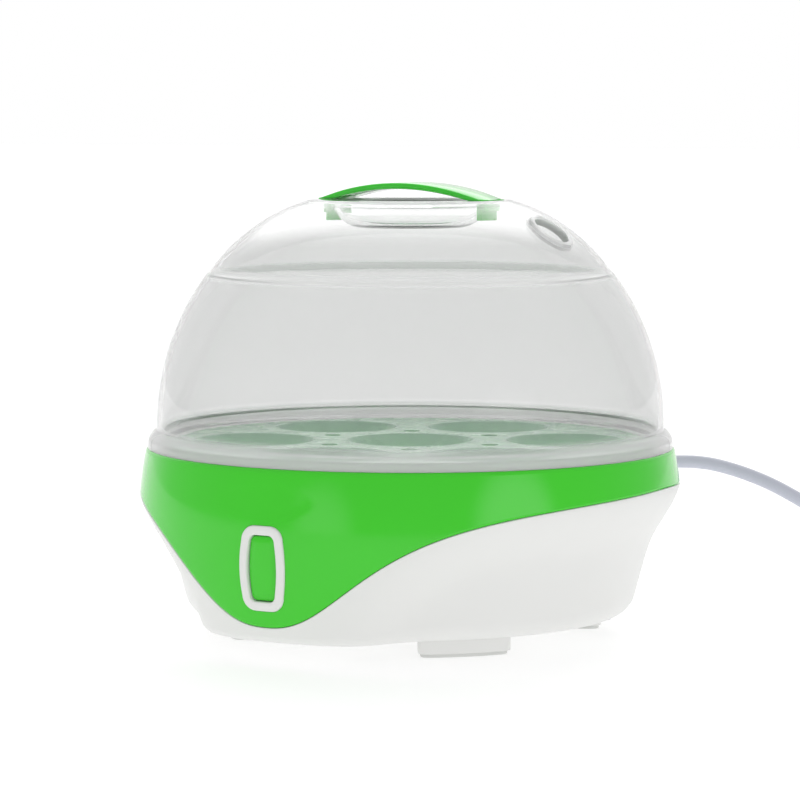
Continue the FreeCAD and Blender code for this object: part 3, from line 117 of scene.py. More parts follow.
class NodeDesk:
    """Node tree of one material, with the few links that every finish draws."""

    def __init__(self, name: str) -> None:
        """Starts an empty material.

        Args:
            name: Name of the material.
        """
        self.material = bpy.data.materials.new(name)
        self.material.use_nodes = True
        self.tree = self.material.node_tree
        self.shader = self.tree.nodes["Principled BSDF"]
        self.place = self.tree.nodes.new("ShaderNodeTexCoord").outputs["Object"]

    def noise(self, scale: float, detail: float = 2.0,
              stretch: Sequence[float] = (1, 1, 1)) -> bpy.types.NodeSocket:
        """Adds a noise pattern on the object's own coordinates.

        Args:
            scale: Waves per metre.
            detail: Octaves of the noise.
            stretch: Scale along each axis, for drawn or brushed surfaces.

        Returns:
            The noise's factor output.
        """
        mapping = self.tree.nodes.new("ShaderNodeMapping")
        mapping.inputs["Scale"].default_value = stretch
        texture = self.tree.nodes.new("ShaderNodeTexNoise")
        texture.inputs["Scale"].default_value = scale
        texture.inputs["Detail"].default_value = detail
        self.tree.links.new(self.place, mapping.inputs["Vector"])
        self.tree.links.new(mapping.outputs["Vector"], texture.inputs["Vector"])
        return texture.outputs["Fac"]

    def tint(self, pattern: bpy.types.NodeSocket, colour: Sequence[float], spread: float) -> None:
        """Varies the base colour a little round its own value.

        Args:
            pattern: Factor that drives the change.
            colour: Linear colour of the surface.
            spread: Share by which it gets darker or lighter.
        """
        ramp = self.tree.nodes.new("ShaderNodeValToRGB")
        for element, place, share in zip(ramp.color_ramp.elements, NOISE_SPAN, (1 - spread, 1 + spread)):
            element.position = place
            element.color = (*(min(1.0, part * share) for part in colour), 1)
        self.tree.links.new(pattern, ramp.inputs["Fac"])
        self.tree.links.new(ramp.outputs["Color"], self.shader.inputs["Base Color"])

    def between(self, pattern: bpy.types.NodeSocket, low: float, high: float, socket: str) -> None:
        """Runs a shader input between two values.

        Args:
            pattern: Factor that drives the change.
            low: Value where the pattern is low.
            high: Value where the pattern is high.
            socket: Name of the shader's input.
        """
        mapped = self.tree.nodes.new("ShaderNodeMapRange")
        set_range(mapped, (*NOISE_SPAN, low, high))
        self.tree.links.new(pattern, mapped.inputs["Value"])
        self.tree.links.new(mapped.outputs["Result"], self.shader.inputs[socket])

    def by_height(self, rungs: Sequence[Pair], socket: str) -> None:
        """Sets a shader input from the height on the piece.

        Args:
            rungs: Height in millimetres and value of each step, from the lowest up.
            socket: Name of the shader's input.
        """
        low, high = rungs[0][0], rungs[-1][0]
        split = self.tree.nodes.new("ShaderNodeSeparateXYZ")
        mapped = self.tree.nodes.new("ShaderNodeMapRange")
        set_range(mapped, (low * MM, high * MM))
        ramp = self.tree.nodes.new("ShaderNodeValToRGB")
        steps = ramp.color_ramp.elements
        while len(steps) < len(rungs):
            steps.new(0.5)
        for step, (height, _value) in zip(steps, rungs):
            step.position = (height - low) / (high - low)
        for step, (_height, value) in zip(steps, rungs):
            step.color = (value, value, value, 1)
        self.tree.links.new(self.place, split.inputs["Vector"])
        self.tree.links.new(split.outputs["Z"], mapped.inputs["Value"])
        self.tree.links.new(mapped.outputs["Result"], ramp.inputs["Fac"])
        self.tree.links.new(ramp.outputs["Color"], self.shader.inputs[socket])

    def less_near(self, spot: Sequence[float], reach: float, share: float, socket: str) -> None:
        """Cuts what already drives a shader input down near a spot.

        Args:
            spot: The spot, in millimetres.
            reach: Distance round it in millimetres.
            share: Share of the input that is left there.
            socket: Name of the shader's input.
        """
        away = self.tree.nodes.new("ShaderNodeVectorMath")
        away.operation = "DISTANCE"
        away.inputs[1].default_value = Vector(spot) * MM
        mapped = self.tree.nodes.new("ShaderNodeMapRange")
        set_range(mapped, (reach * MM, (reach + EDGE_FADE) * MM, share))
        times = self.tree.nodes.new("ShaderNodeMath")
        times.operation = "MULTIPLY"
        self.tree.links.new(self.place, away.inputs[0])
        self.tree.links.new(away.outputs["Value"], mapped.inputs["Value"])
        self.tree.links.new(self.shader.inputs[socket].links[0].from_socket, times.inputs[0])
        self.tree.links.new(mapped.outputs["Result"], times.inputs[1])
        self.tree.links.new(times.outputs["Value"], self.shader.inputs[socket])

    def relief(self, pattern: bpy.types.NodeSocket, depth: float, strength: float) -> None:
        """Raises the surface by a pattern, in shading only.

        Args:
            pattern: Height of the relief.
            depth: Its depth in millimetres.
            strength: Share of it that shows.
        """
        bump = self.tree.nodes.new("ShaderNodeBump")
        bump.inputs["Distance"].default_value = depth * MM
        bump.inputs["Strength"].default_value = strength
        self.tree.links.new(pattern, bump.inputs["Height"])
        self.tree.links.new(bump.outputs["Normal"], self.shader.inputs["Normal"])


@dataclass(frozen=True)
class MouldedPlastic:
    """Injection-moulded plastic: faint flow clouds in its colour, uneven gloss and a fine skin."""

    name: str
    colour: tuple[float, float, float]
    gloss: Pair = (0.14, 0.22)
    clouds: float = 0.02
    cloud_scale: float = 22.0
    skin_scale: float = 900.0
    skin_depth: float = 0.012
    skin_strength: float = 0.08
    glow: float = 0.0
    lacquer: float = 0.0
    lacquer_gloss: float = 0.05
    glow_reach: tuple[float, float, float] = (0.004, 0.006, 0.003)
    bend: float = 1.5

    def material(self) -> bpy.types.Material:
        """Makes the material.

        Returns:
            The finished material.
        """
        desk = NodeDesk(self.name)
        desk.tint(desk.noise(self.cloud_scale), self.colour, self.clouds)
        desk.between(desk.noise(self.cloud_scale * 4, 4.0), *self.gloss, "Roughness")
        desk.relief(desk.noise(self.skin_scale, 3.0), self.skin_depth, self.skin_strength)
        desk.shader.inputs["IOR"].default_value = self.bend
        desk.shader.inputs["Coat Weight"].default_value = self.lacquer
        desk.shader.inputs["Coat Roughness"].default_value = self.lacquer_gloss
        if self.glow:
            desk.shader.inputs["Subsurface Weight"].default_value = self.glow
            desk.shader.inputs["Subsurface Radius"].default_value = self.glow_reach
            desk.shader.inputs["Subsurface Scale"].default_value = 1.0
        return desk.material


@dataclass(frozen=True)
class ClearPlastic:
    """Clear rigid plastic with moulding waves, whiter and less clear at its foot. A painted highlight makes it
    whiter and milkier along its shoulder step, at its plateau edge and round its steam hole, and a painted
    reflection makes its crown whiter and clearer.
    """

    name: str
    gloss: Pair = (0.0, 0.035)
    bend: float = 1.25
    vent: tuple[float, float, float] = VENT_PLACE
    # painted highlight: within this reach of the steam hole the dome is less clear, so it reads white
    vent_painted_light_reach: float = 9.0
    vent_painted_light_share: float = 0.45
    haze_scale: float = 30.0
    wave_scale: float = 60.0
    wave_depth: float = 0.02
    wave_strength: float = 0.05
    # height above the table and the value there; the whiter, milkier bands at the shoulder step and the plateau
    # edge are a painted highlight, and the whiter, clearer crown is a painted reflection
    whiteness_and_painted_light: tuple[Pair, ...] = (
        (64.0, 0.99), (71.5, 0.97), (74.0, 0.86), (122.5, 0.86), (124.0, 0.98), (126.5, 0.98), (128.0, 0.86),
        (136.0, 0.87), (143.0, 0.985), (152.0, 0.985))
    clearness_and_painted_light: tuple[Pair, ...] = (
        (64.0, 0.55), (71.0, 0.66), (73.0, 0.93), (122.5, 0.93), (124.2, 0.65), (126.0, 0.65), (127.5, 0.93),
        (136.0, 0.93), (143.0, 0.985), (149.2, 0.985), (149.9, 0.55), (152.0, 0.55))

    def material(self) -> bpy.types.Material:
        """Makes the material.

        Returns:
            The finished material.
        """
        desk = NodeDesk(self.name)
        # painted highlight at the shoulder step and plateau edge, and painted reflection on the crown, set by
        # height
        desk.by_height(self.whiteness_and_painted_light, "Base Color")
        desk.by_height(self.clearness_and_painted_light, "Transmission Weight")
        # painted highlight round the steam hole: less clear there, so whiter
        desk.less_near(self.vent, self.vent_painted_light_reach, self.vent_painted_light_share, "Transmission Weight")
        desk.between(desk.noise(self.haze_scale, 3.0), *self.gloss, "Roughness")
        desk.relief(desk.noise(self.wave_scale, 1.0), self.wave_depth, self.wave_strength)
        desk.shader.inputs["IOR"].default_value = self.bend
        return desk.material


@dataclass(frozen=True)
class SheetMetal:
    """Drawn, brushed or plated metal; the stretch sets the way its fine lines run."""

    name: str
    colour: tuple[float, float, float]
    gloss: Pair = (0.22, 0.36)
    line_scale: float = 500.0
    stretch: tuple[float, float, float] = (1, 1, 1)
    line_depth: float = 0.01
    line_strength: float = 0.2
    clouds: float = 0.06
    cloud_scale: float = 45.0

    def material(self) -> bpy.types.Material:
        """Makes the material.

        Returns:
            The finished material.
        """
        desk = NodeDesk(self.name)
        lines = desk.noise(self.line_scale, 5.0, self.stretch)
        desk.tint(desk.noise(self.cloud_scale, 3.0), self.colour, self.clouds)
        desk.between(lines, *self.gloss, "Roughness")
        desk.relief(lines, self.line_depth, self.line_strength)
        desk.shader.inputs["Metallic"].default_value = 1.0
        return desk.material


FINISHES = {
    Slot.GREEN: MouldedPlastic("gloss_green", (0.042, 0.625, 0.012), (0.07, 0.13), 0.02, lacquer=0.1),
    Slot.WHITE: MouldedPlastic("gloss_white", (0.820, 0.823, 0.808), (0.30, 0.40), 0.008),
    Slot.CLEAR: ClearPlastic("clear_dome"),
    Slot.DECK: MouldedPlastic("satin_deck", (0.760, 0.775, 0.760), (0.3, 0.42), 0.012),
    Slot.PLATE: SheetMetal("brushed_plate", (0.66, 0.65, 0.63), (0.2, 0.34), 260.0, (1, 7, 1)),
    Slot.ALUMINIUM: SheetMetal("cast_aluminium", (0.72, 0.72, 0.73), (0.36, 0.52), 320.0),
    Slot.ZINC: SheetMetal("zinc_steel", (0.60, 0.62, 0.64), (0.26, 0.4), 180.0),
    Slot.BRASS: SheetMetal("turned_brass", (0.76, 0.56, 0.25), (0.2, 0.34), 420.0),
    Slot.SILICONE: MouldedPlastic("soft_silicone", (0.63, 0.64, 0.62), (0.42, 0.56), 0.03),
    Slot.RUBBER: MouldedPlastic("pad_rubber", (0.68, 0.69, 0.67), (0.6, 0.75), 0.05, 60.0, 1500.0, 0.04, 0.3),
    # painted shade: the white sheath is given the lavender grey it shows in shade; the plug, the strain relief
    # and the inner cord share this finish
    Slot.CORD: MouldedPlastic(
        "cord_sheath_painted_shade", (0.560, 0.575, 0.665), (0.3, 0.42), 0.02, 40.0, 1400.0, 0.02, 0.15),
    Slot.BLACK: MouldedPlastic("black_fitting", (0.018, 0.019, 0.020), (0.32, 0.46), 0.12),
    Slot.RED_WIRE: MouldedPlastic("red_sleeve", (0.60, 0.035, 0.030), (0.36, 0.5), 0.05),
    Slot.BLUE_WIRE: MouldedPlastic("blue_sleeve", (0.030, 0.110, 0.520), (0.36, 0.5), 0.05),
    Slot.WHITE_WIRE: MouldedPlastic("white_sleeve", (0.72, 0.72, 0.70), (0.36, 0.5), 0.03),
    Slot.PLUG_METAL: SheetMetal("plated_pins", (0.78, 0.76, 0.70), (0.14, 0.24), 380.0),
    Slot.TIE: MouldedPlastic("black_tie", (0.025, 0.026, 0.028), (0.38, 0.52), 0.1),
}
RACK_GREEN = MouldedPlastic("pale_rack_green", (0.520, 0.940, 0.600), (0.22, 0.32), 0.02, glow=0.3)
HANDLE_GREEN = MouldedPlastic("clear_handle_green", (0.030, 0.640, 0.020), (0.05, 0.10), 0.03, lacquer=0.3)


class Paintbox:
    """Makes each material once and hands it out."""

    def __init__(self) -> None:
        """Starts with no material made."""
        self.made: dict[str, bpy.types.Material] = {}

    def material(self, finish: MouldedPlastic | ClearPlastic | SheetMetal) -> bpy.types.Material:
        """Material of a finish.

        Args:
            finish: The finish to make, or to find if it was made before.

        Returns:
            Its material.
        """
        if finish.name not in self.made:
            self.made[finish.name] = finish.material()
        return self.made[finish.name]


PAINT = Paintbox()


# ---------------------------------------------------------------- shaping tools


def clear_selection() -> None:
    """Leaves edit mode and deselects everything."""
    if bpy.context.object and bpy.context.object.mode != "OBJECT":
        bpy.ops.object.mode_set(mode="OBJECT")
    bpy.ops.object.select_all(action="DESELECT")


def take(obj: bpy.types.Object) -> None:
    """Makes an object the only selected one, and the active one.

    Args:
        obj: The object.
    """
    clear_selection()
    obj.select_set(True)
    bpy.context.view_layer.objects.active = obj


def smoothstep(share: float) -> float:
    """Eases a share from 0 to 1.

    Args:
        share: Any number; it is held between 0 and 1.

    Returns:
        The eased share.
    """
    held = min(1.0, max(0.0, share))
    return held * held * (3 - 2 * held)


def polar(radius: float, angle: float, height: float) -> Vector:
    """Point round the body's axis.

    Args:
        radius: Distance from the axis.
        angle: Degrees from the front.
        height: Height above the table.

    Returns:
        The point, in millimetres.
    """
    turn = math.radians(angle)
    return Vector((radius * math.sin(turn), -radius * math.cos(turn), height))


def arc(start: Pair, middle: Pair, end: Pair, steps: int) -> list[Pair]:
    """Points on the circle through three points.

    Args:
        start: First point, left out of the result.
        middle: A point between the two ends.
        end: Last point.
        steps: Number of points.

    Returns:
        The points after the start, up to the end.
    """
    (ax, ay), (bx, by), (cx, cy) = start, middle, end
    double = 2 * (ax * (by - cy) + bx * (cy - ay) + cx * (ay - by))
    aa, bb, cc = ax * ax + ay * ay, bx * bx + by * by, cx * cx + cy * cy
    mx = (aa * (by - cy) + bb * (cy - ay) + cc * (ay - by)) / double
    my = (aa * (cx - bx) + bb * (ax - cx) + cc * (bx - ax)) / double
    radius = math.hypot(ax - mx, ay - my)
    first, half, last = (math.atan2(y - my, x - mx) for x, y in (start, middle, end))
    turn = (last - first) % math.tau
    if (half - first) % math.tau > turn:
        turn -= math.tau
    angles = [first + turn * step / steps for step in range(1, steps + 1)]
    return [(mx + radius * math.cos(angle), my + radius * math.sin(angle)) for angle in angles]


def softened(corners: Sequence[tuple[float, float, float]], steps: int = 4) -> list[Pair]:
    """Open profile whose corners are rounded.

    Args:
        corners: Radius, height and corner rounding of each point.
        steps: Points along each rounding.

    Returns:
        The profile's points.
    """
    points: list[Pair] = []
    for index, (x, y, rounding) in enumerate(corners):
        here = Vector((x, y))
        if not rounding or index in (0, len(corners) - 1):
            points.append((x, y))
            continue
        before, after = (Vector(corners[index + side][:2]) - here for side in (-1, 1))
        from_side = here + before.normalized() * min(rounding, before.length * 0.45)
        to_side = here + after.normalized() * min(rounding, after.length * 0.45)
        for step in range(steps + 1):
            share = step / steps
            spot = from_side * (1 - share) ** 2 + here * 2 * share * (1 - share) + to_side * share ** 2
            points.append((spot.x, spot.y))
    return points


def turned_rings(rows: Sequence[Row], columns: int) -> list[Ring]:
    """Rings round the axis from rows that give a radius and a height at each angle.

    Args:
        rows: The rows, in the order of the surface.
        columns: Points on each ring.

    Returns:
        The rings.
    """
    angles = [360.0 * column / columns - 180.0 for column in range(columns)]
    rings = []
    for row in rows:
        places = ((angle, row(angle)) for angle in angles)
        rings.append([polar(radius, angle, height) for angle, (radius, height) in places])
    return rings


def lathe_rings(profile: Iterable[Pair], columns: int) -> list[Ring]:
    """Rings of a plain turned shape.

    Args:
        profile: Radius and height of each ring.
        columns: Points on each ring.

    Returns:
        The rings.
    """
    return turned_rings([lambda _angle, spot=spot: spot for spot in profile], columns)


def lofted(name: str, rings: Sequence[Ring]) -> bpy.types.Object:
    """Closed mesh from a circle that is extruded ring by ring.

    A ring drawn in to the axis closes as a pole, and a last ring equal to the first closes the
    loop, when the doubles are merged.

    Args:
        name: Name of the object.
        rings: Rings of points in millimetres, all of the same count.

    Returns:
        The object, at the origin.
    """
    clear_selection()
    bpy.ops.mesh.primitive_circle_add(vertices=len(rings[0]), radius=MM)
    obj = bpy.context.object
    obj.name = obj.data.name = name
    bpy.ops.object.mode_set(mode="EDIT")
    bpy.ops.mesh.select_all(action="SELECT")
    mesh = bmesh.from_edit_mesh(obj.data)
    order = mesh.verts.layers.int.new("order")
    for index, vertex in enumerate(mesh.verts):
        vertex[order] = index
    for index, ring in enumerate(rings):
        if index:
            bpy.ops.mesh.extrude_region_move()
            mesh = bmesh.from_edit_mesh(obj.data)
            order = mesh.verts.layers.int["order"]
        for vertex in mesh.verts:
            if vertex.select:
                vertex.co = ring[vertex[order]] * MM
    mesh.verts.layers.int.remove(order)
    bmesh.update_edit_mesh(obj.data)
    bpy.ops.mesh.select_all(action="SELECT")
    bpy.ops.mesh.remove_doubles(threshold=MERGE)
    bpy.ops.mesh.normals_make_consistent(inside=False)
    bpy.ops.object.mode_set(mode="OBJECT")
    return obj


def turned(name: str, corners: Sequence[tuple[float, float, float]], columns: int = 160) -> bpy.types.Object:
    """Solid of revolution with rounded corners.

    Args:
        name: Name of the object.
        corners: Radius, height and rounding of each corner, from axis to axis or round a loop.
        columns: Points round the axis.

    Returns:
        The object.
    """
    profile = [(max(AXIS_SPECK, radius), height) for radius, height in softened(corners)]
    return lofted(name, lathe_rings(profile, columns))


def moved(obj: bpy.types.Object, place: Sequence[float], turn: Matrix | None = None) -> bpy.types.Object:
    """Turns and shifts a mesh, with its object left at the origin.

    Args:
        obj: The object.
        place: Shift in millimetres.
        turn: Turn about the origin, made first.

    Returns:
        The object.
    """
    obj.data.transform(Matrix.Translation(Vector(place) * MM) @ (turn or Matrix.Identity(4)))
    return obj


def copied(obj: bpy.types.Object, place: Sequence[float]) -> bpy.types.Object:
    """Copy with a mesh of its own.

    Args:
        obj: The object to copy.
        place: Shift of the copy in millimetres.

    Returns:
        The copy.
    """
    copy = obj.copy()
    copy.data = obj.data.copy()
    bpy.context.scene.collection.objects.link(copy)
    return moved(copy, place)


def joined(first: bpy.types.Object, others: Iterable[bpy.types.Object]) -> bpy.types.Object:
    """Joins objects into the first.

    Args:
        first: Object that keeps its name.
        others: Objects that go into it.

    Returns:
        The first object.
    """
    take(first)
    for other in others:
        other.select_set(True)
    bpy.ops.object.join()
    return first


def applied(obj: bpy.types.Object, kind: str, **settings: object) -> bpy.types.Object:
    """Adds a modifier and applies it.

    Args:
        obj: The object.
        kind: The modifier's type.
        **settings: Its settings.

    Returns:
        The object.
    """
    take(obj)
    modifier = obj.modifiers.new(kind.lower(), kind)
    for name, setting in settings.items():
        setattr(modifier, name, setting)
    bpy.ops.object.modifier_apply(modifier=modifier.name)
    return obj


def carved(obj: bpy.types.Object, tool: bpy.types.Object, operation: str = "DIFFERENCE") -> bpy.types.Object:
    """Cuts a tool out of an object, or adds it, and removes the tool.

    Args:
        obj: The object.
        tool: The other shape.
        operation: Boolean operation.

    Returns:
        The object.
    """
    applied(obj, "BOOLEAN", operation=operation, object=tool, solver="EXACT")
    bpy.data.objects.remove(tool)
    return obj


def smooth(obj: bpy.types.Object, angle: float = 35.0) -> bpy.types.Object:
    """Shades a mesh smooth, with edges sharper than the angle kept.

    Args:
        obj: The object.
        angle: Degrees.

    Returns:
        The object.
    """
    take(obj)
    bpy.ops.object.shade_smooth_by_angle(angle=math.radians(angle))
    return obj


@dataclass
class Barrel:
    """Upright rounded outline with slightly bowed sides, seen from the front."""

    width: float
    height: float
    corner: float
    bulge: float
    middle: float

    def inset(self, amount: float) -> "Barrel":
        """The same outline drawn in.

        Args:
            amount: Distance to draw it in by, or out by where it is below 0.

        Returns:
            The smaller outline.
        """
        least_corner = 0.3
        corner = max(least_corner, self.corner - amount)
        return Barrel(self.width - 2 * amount, self.height - 2 * amount, corner, self.bulge, self.middle)

    def points(self, steps: int = 9) -> list[Pair]:
        """Points round the outline, anticlockwise from the bottom right corner.

        Args:
            steps: Points on each side and corner.

        Returns:
            Sideways place and height of each point.
        """
        half_w, half_h = self.width / 2, self.height / 2
        side = half_w - self.bulge
        inner_x, inner_z = side - self.corner, half_h - self.corner
        bend = self.corner * (1 - math.sqrt(0.5))
        right = arc((inner_x, -half_h), (side - bend, -half_h + bend), (side, -inner_z), steps)
        right += arc((side, -inner_z), (half_w, 0), (side, inner_z), 2 * steps)
        right += arc((side, inner_z), (side - bend, half_h - bend), (inner_x, half_h), steps)
        right += [(inner_x * (1 - 2 * step / steps), half_h) for step in range(1, steps)]
        whole = right + [(-x, -z) for x, z in right]
        return [(x, z + self.middle) for x, z in whole]


# ---------------------------------------------------------------- camera, light and floor


def aimed(obj: bpy.types.Object, place: Sequence[float], target: Sequence[float]) -> None:
    """Turns a camera or a light at a place towards a spot.

    Args:
        obj: The camera or light.
        place: Its place in metres.
        target: The spot it faces, in metres.
    """
    sight = Vector(target) - Vector(place)
    obj.rotation_euler = sight.to_track_quat("-Z", "Y").to_euler()


@dataclass(frozen=True)
class Softbox:
    """Soft light that faces the cooker: its name, place and size in metres, and watts."""

    name: str
    place: tuple[float, float, float]
    size: Pair
    power: float


@dataclass(frozen=True)
class Glow:
    """Soft-edged light in the surround: where it lies, how far it spreads and how strong it is."""

    towards: tuple[float, float, float]
    spread: Pair
    strength: Pair


@dataclass
class Studio:
    """Camera, plain floor, soft lights and pale surround."""

    eye: tuple[float, float, float] = (0.6123, -1.0262, 0.183)
    target: tuple[float, float, float] = (-0.0031, -0.0019, 0.0805)
    lens: float = 154.35
    sensor: float = 36.0
    lit_spot: tuple[float, float, float] = (0.0, 0.0, 0.07)
    softboxes: tuple[Softbox, ...] = (
        Softbox("overhead_softbox", (0.1, 0.25, 1.1), (1.3, 0.9), 1.0),
        Softbox("left_softbox", (-0.9, -0.75, 0.5), (0.7, 1.1), 1.6),
        Softbox("right_softbox", (1.15, -0.35, 0.55), (0.7, 1.2), 0.5),
    )
    floor_size: float = 24.0
    floor_z: float = -0.0002
    floor_shade: float = 0.55
    floor_light: float = 0.56
    glows: tuple[Glow, ...] = (
        Glow((-0.51, 0.86, 0.0), (0.50, 0.98), (0.60, 1.0)),
        Glow((-0.36, 0.61, 0.70), (0.82, 0.93), (0.0, 1.2)),
        Glow((-0.104, -0.995, 0.0), (0.96, 1.0), (0.0, 0.8)),
        Glow((0.966, -0.259, 0.0), (0.93, 0.985), (0.0, 1.3)),
    )

    def place_camera(self) -> None:
        """Adds the camera and looks through it."""
        clear_selection()
        bpy.ops.object.camera_add(location=self.eye)
        camera = bpy.context.object
        camera.name = "studio_camera"
        camera.data.lens = self.lens
        camera.data.sensor_width = self.sensor
        camera.data.dof.use_dof = False
        aimed(camera, self.eye, self.target)
        bpy.context.scene.camera = camera
        LOG.info("camera placed")

    def hang(self, box: Softbox) -> None:
        """Hangs a softbox that isn't mirrored in the cooker.

        Args:
            box: The softbox.
        """
        clear_selection()
        bpy.ops.object.light_add(type="AREA", location=box.place)
        light = bpy.context.object
        light.name = box.name
        light.data.shape = "RECTANGLE"
        light.data.size, light.data.size_y = box.size
        light.data.energy = box.power
        light.visible_glossy = light.visible_transmission = False
        aimed(light, box.place, self.lit_spot)

    def surround(self) -> None:
        """Lights the room evenly, brighter behind the cooker and overhead, with soft upright strips."""
        world = bpy.data.worlds.new("studio_surround")
        bpy.context.scene.world = world
        world.use_nodes = True
        tree = world.node_tree
        back = tree.nodes["Background"]
        place = tree.nodes.new("ShaderNodeTexCoord")
        back.inputs["Color"].default_value = (1, 1, 1, 1)
        total = None
        for glow in self.glows:
            dot = tree.nodes.new("ShaderNodeVectorMath")
            dot.operation = "DOT_PRODUCT"
            dot.inputs[1].default_value = glow.towards
            ramp = tree.nodes.new("ShaderNodeMapRange")
            ramp.interpolation_type = "SMOOTHSTEP"
            set_range(ramp, (*glow.spread, *glow.strength))
            tree.links.new(place.outputs["Generated"], dot.inputs[0])
            tree.links.new(dot.outputs["Value"], ramp.inputs["Value"])
            if total:
                add = tree.nodes.new("ShaderNodeMath")
                tree.links.new(total, add.inputs[0])
                tree.links.new(ramp.outputs["Result"], add.inputs[1])
                total = add.outputs["Value"]
            else:
                total = ramp.outputs["Result"]
        tree.links.new(total, back.inputs["Strength"])

    def lay_floor(self) -> None:
        """Lays the plain pale floor, which is lit from beneath as a light table is."""
        clear_selection()
        bpy.ops.mesh.primitive_plane_add(size=self.floor_size, location=(0, 0, self.floor_z))
        floor = bpy.context.object
        floor.name = "studio_floor"
        colour = (self.floor_shade,) * 3
        finish = MouldedPlastic("pale_floor", colour, (0.7, 0.8), 0.003, 0.4, 30.0, 0.01, 0.02)
        paper = PAINT.material(finish)
        shader = paper.node_tree.nodes["Principled BSDF"]
        shader.inputs["Emission Color"].default_value = (1, 1, 1, 1)
        shader.inputs["Emission Strength"].default_value = self.floor_light
        floor.data.materials.append(paper)

    def build(self) -> None:
        """Sets the whole studio up round the camera."""
        view = bpy.context.scene.view_settings
        view.view_transform = "Standard"
        self.surround()
        self.lay_floor()
        for box in self.softboxes:
            self.hang(box)
        LOG.info("studio lit")


# ---------------------------------------------------------------- shared base of the sub-assemblies


@dataclass
class SubAssembly:
    """Part of the cooker whose pieces are built, dressed and hung on their bodies."""

    def finish(self, obj: bpy.types.Object, slot: Slot, body: Body, nodes: Sequence[str] = (),
               coat: MouldedPlastic | ClearPlastic | SheetMetal | None = None) -> bpy.types.Object:
        """Gives a piece its material and hangs it on its body.

        Args:
            obj: The piece.
            slot: Material slot of the record.
            body: Body that it moves with.
            nodes: CAD nodes that it stands for.
            coat: Finish to use in place of the slot's own.

        Returns:
            The piece.
        """
        obj.data.materials.clear()
        obj.data.materials.append(PAINT.material(coat or FINISHES[slot]))
        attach(obj, body.value)
        if nodes:
            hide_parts(*nodes)
        faces = len(obj.data.polygons) if obj.type == "MESH" else 0
        LOG.info("%s built, %d faces", obj.name, faces)
        return obj


# ---------------------------------------------------------------- cord


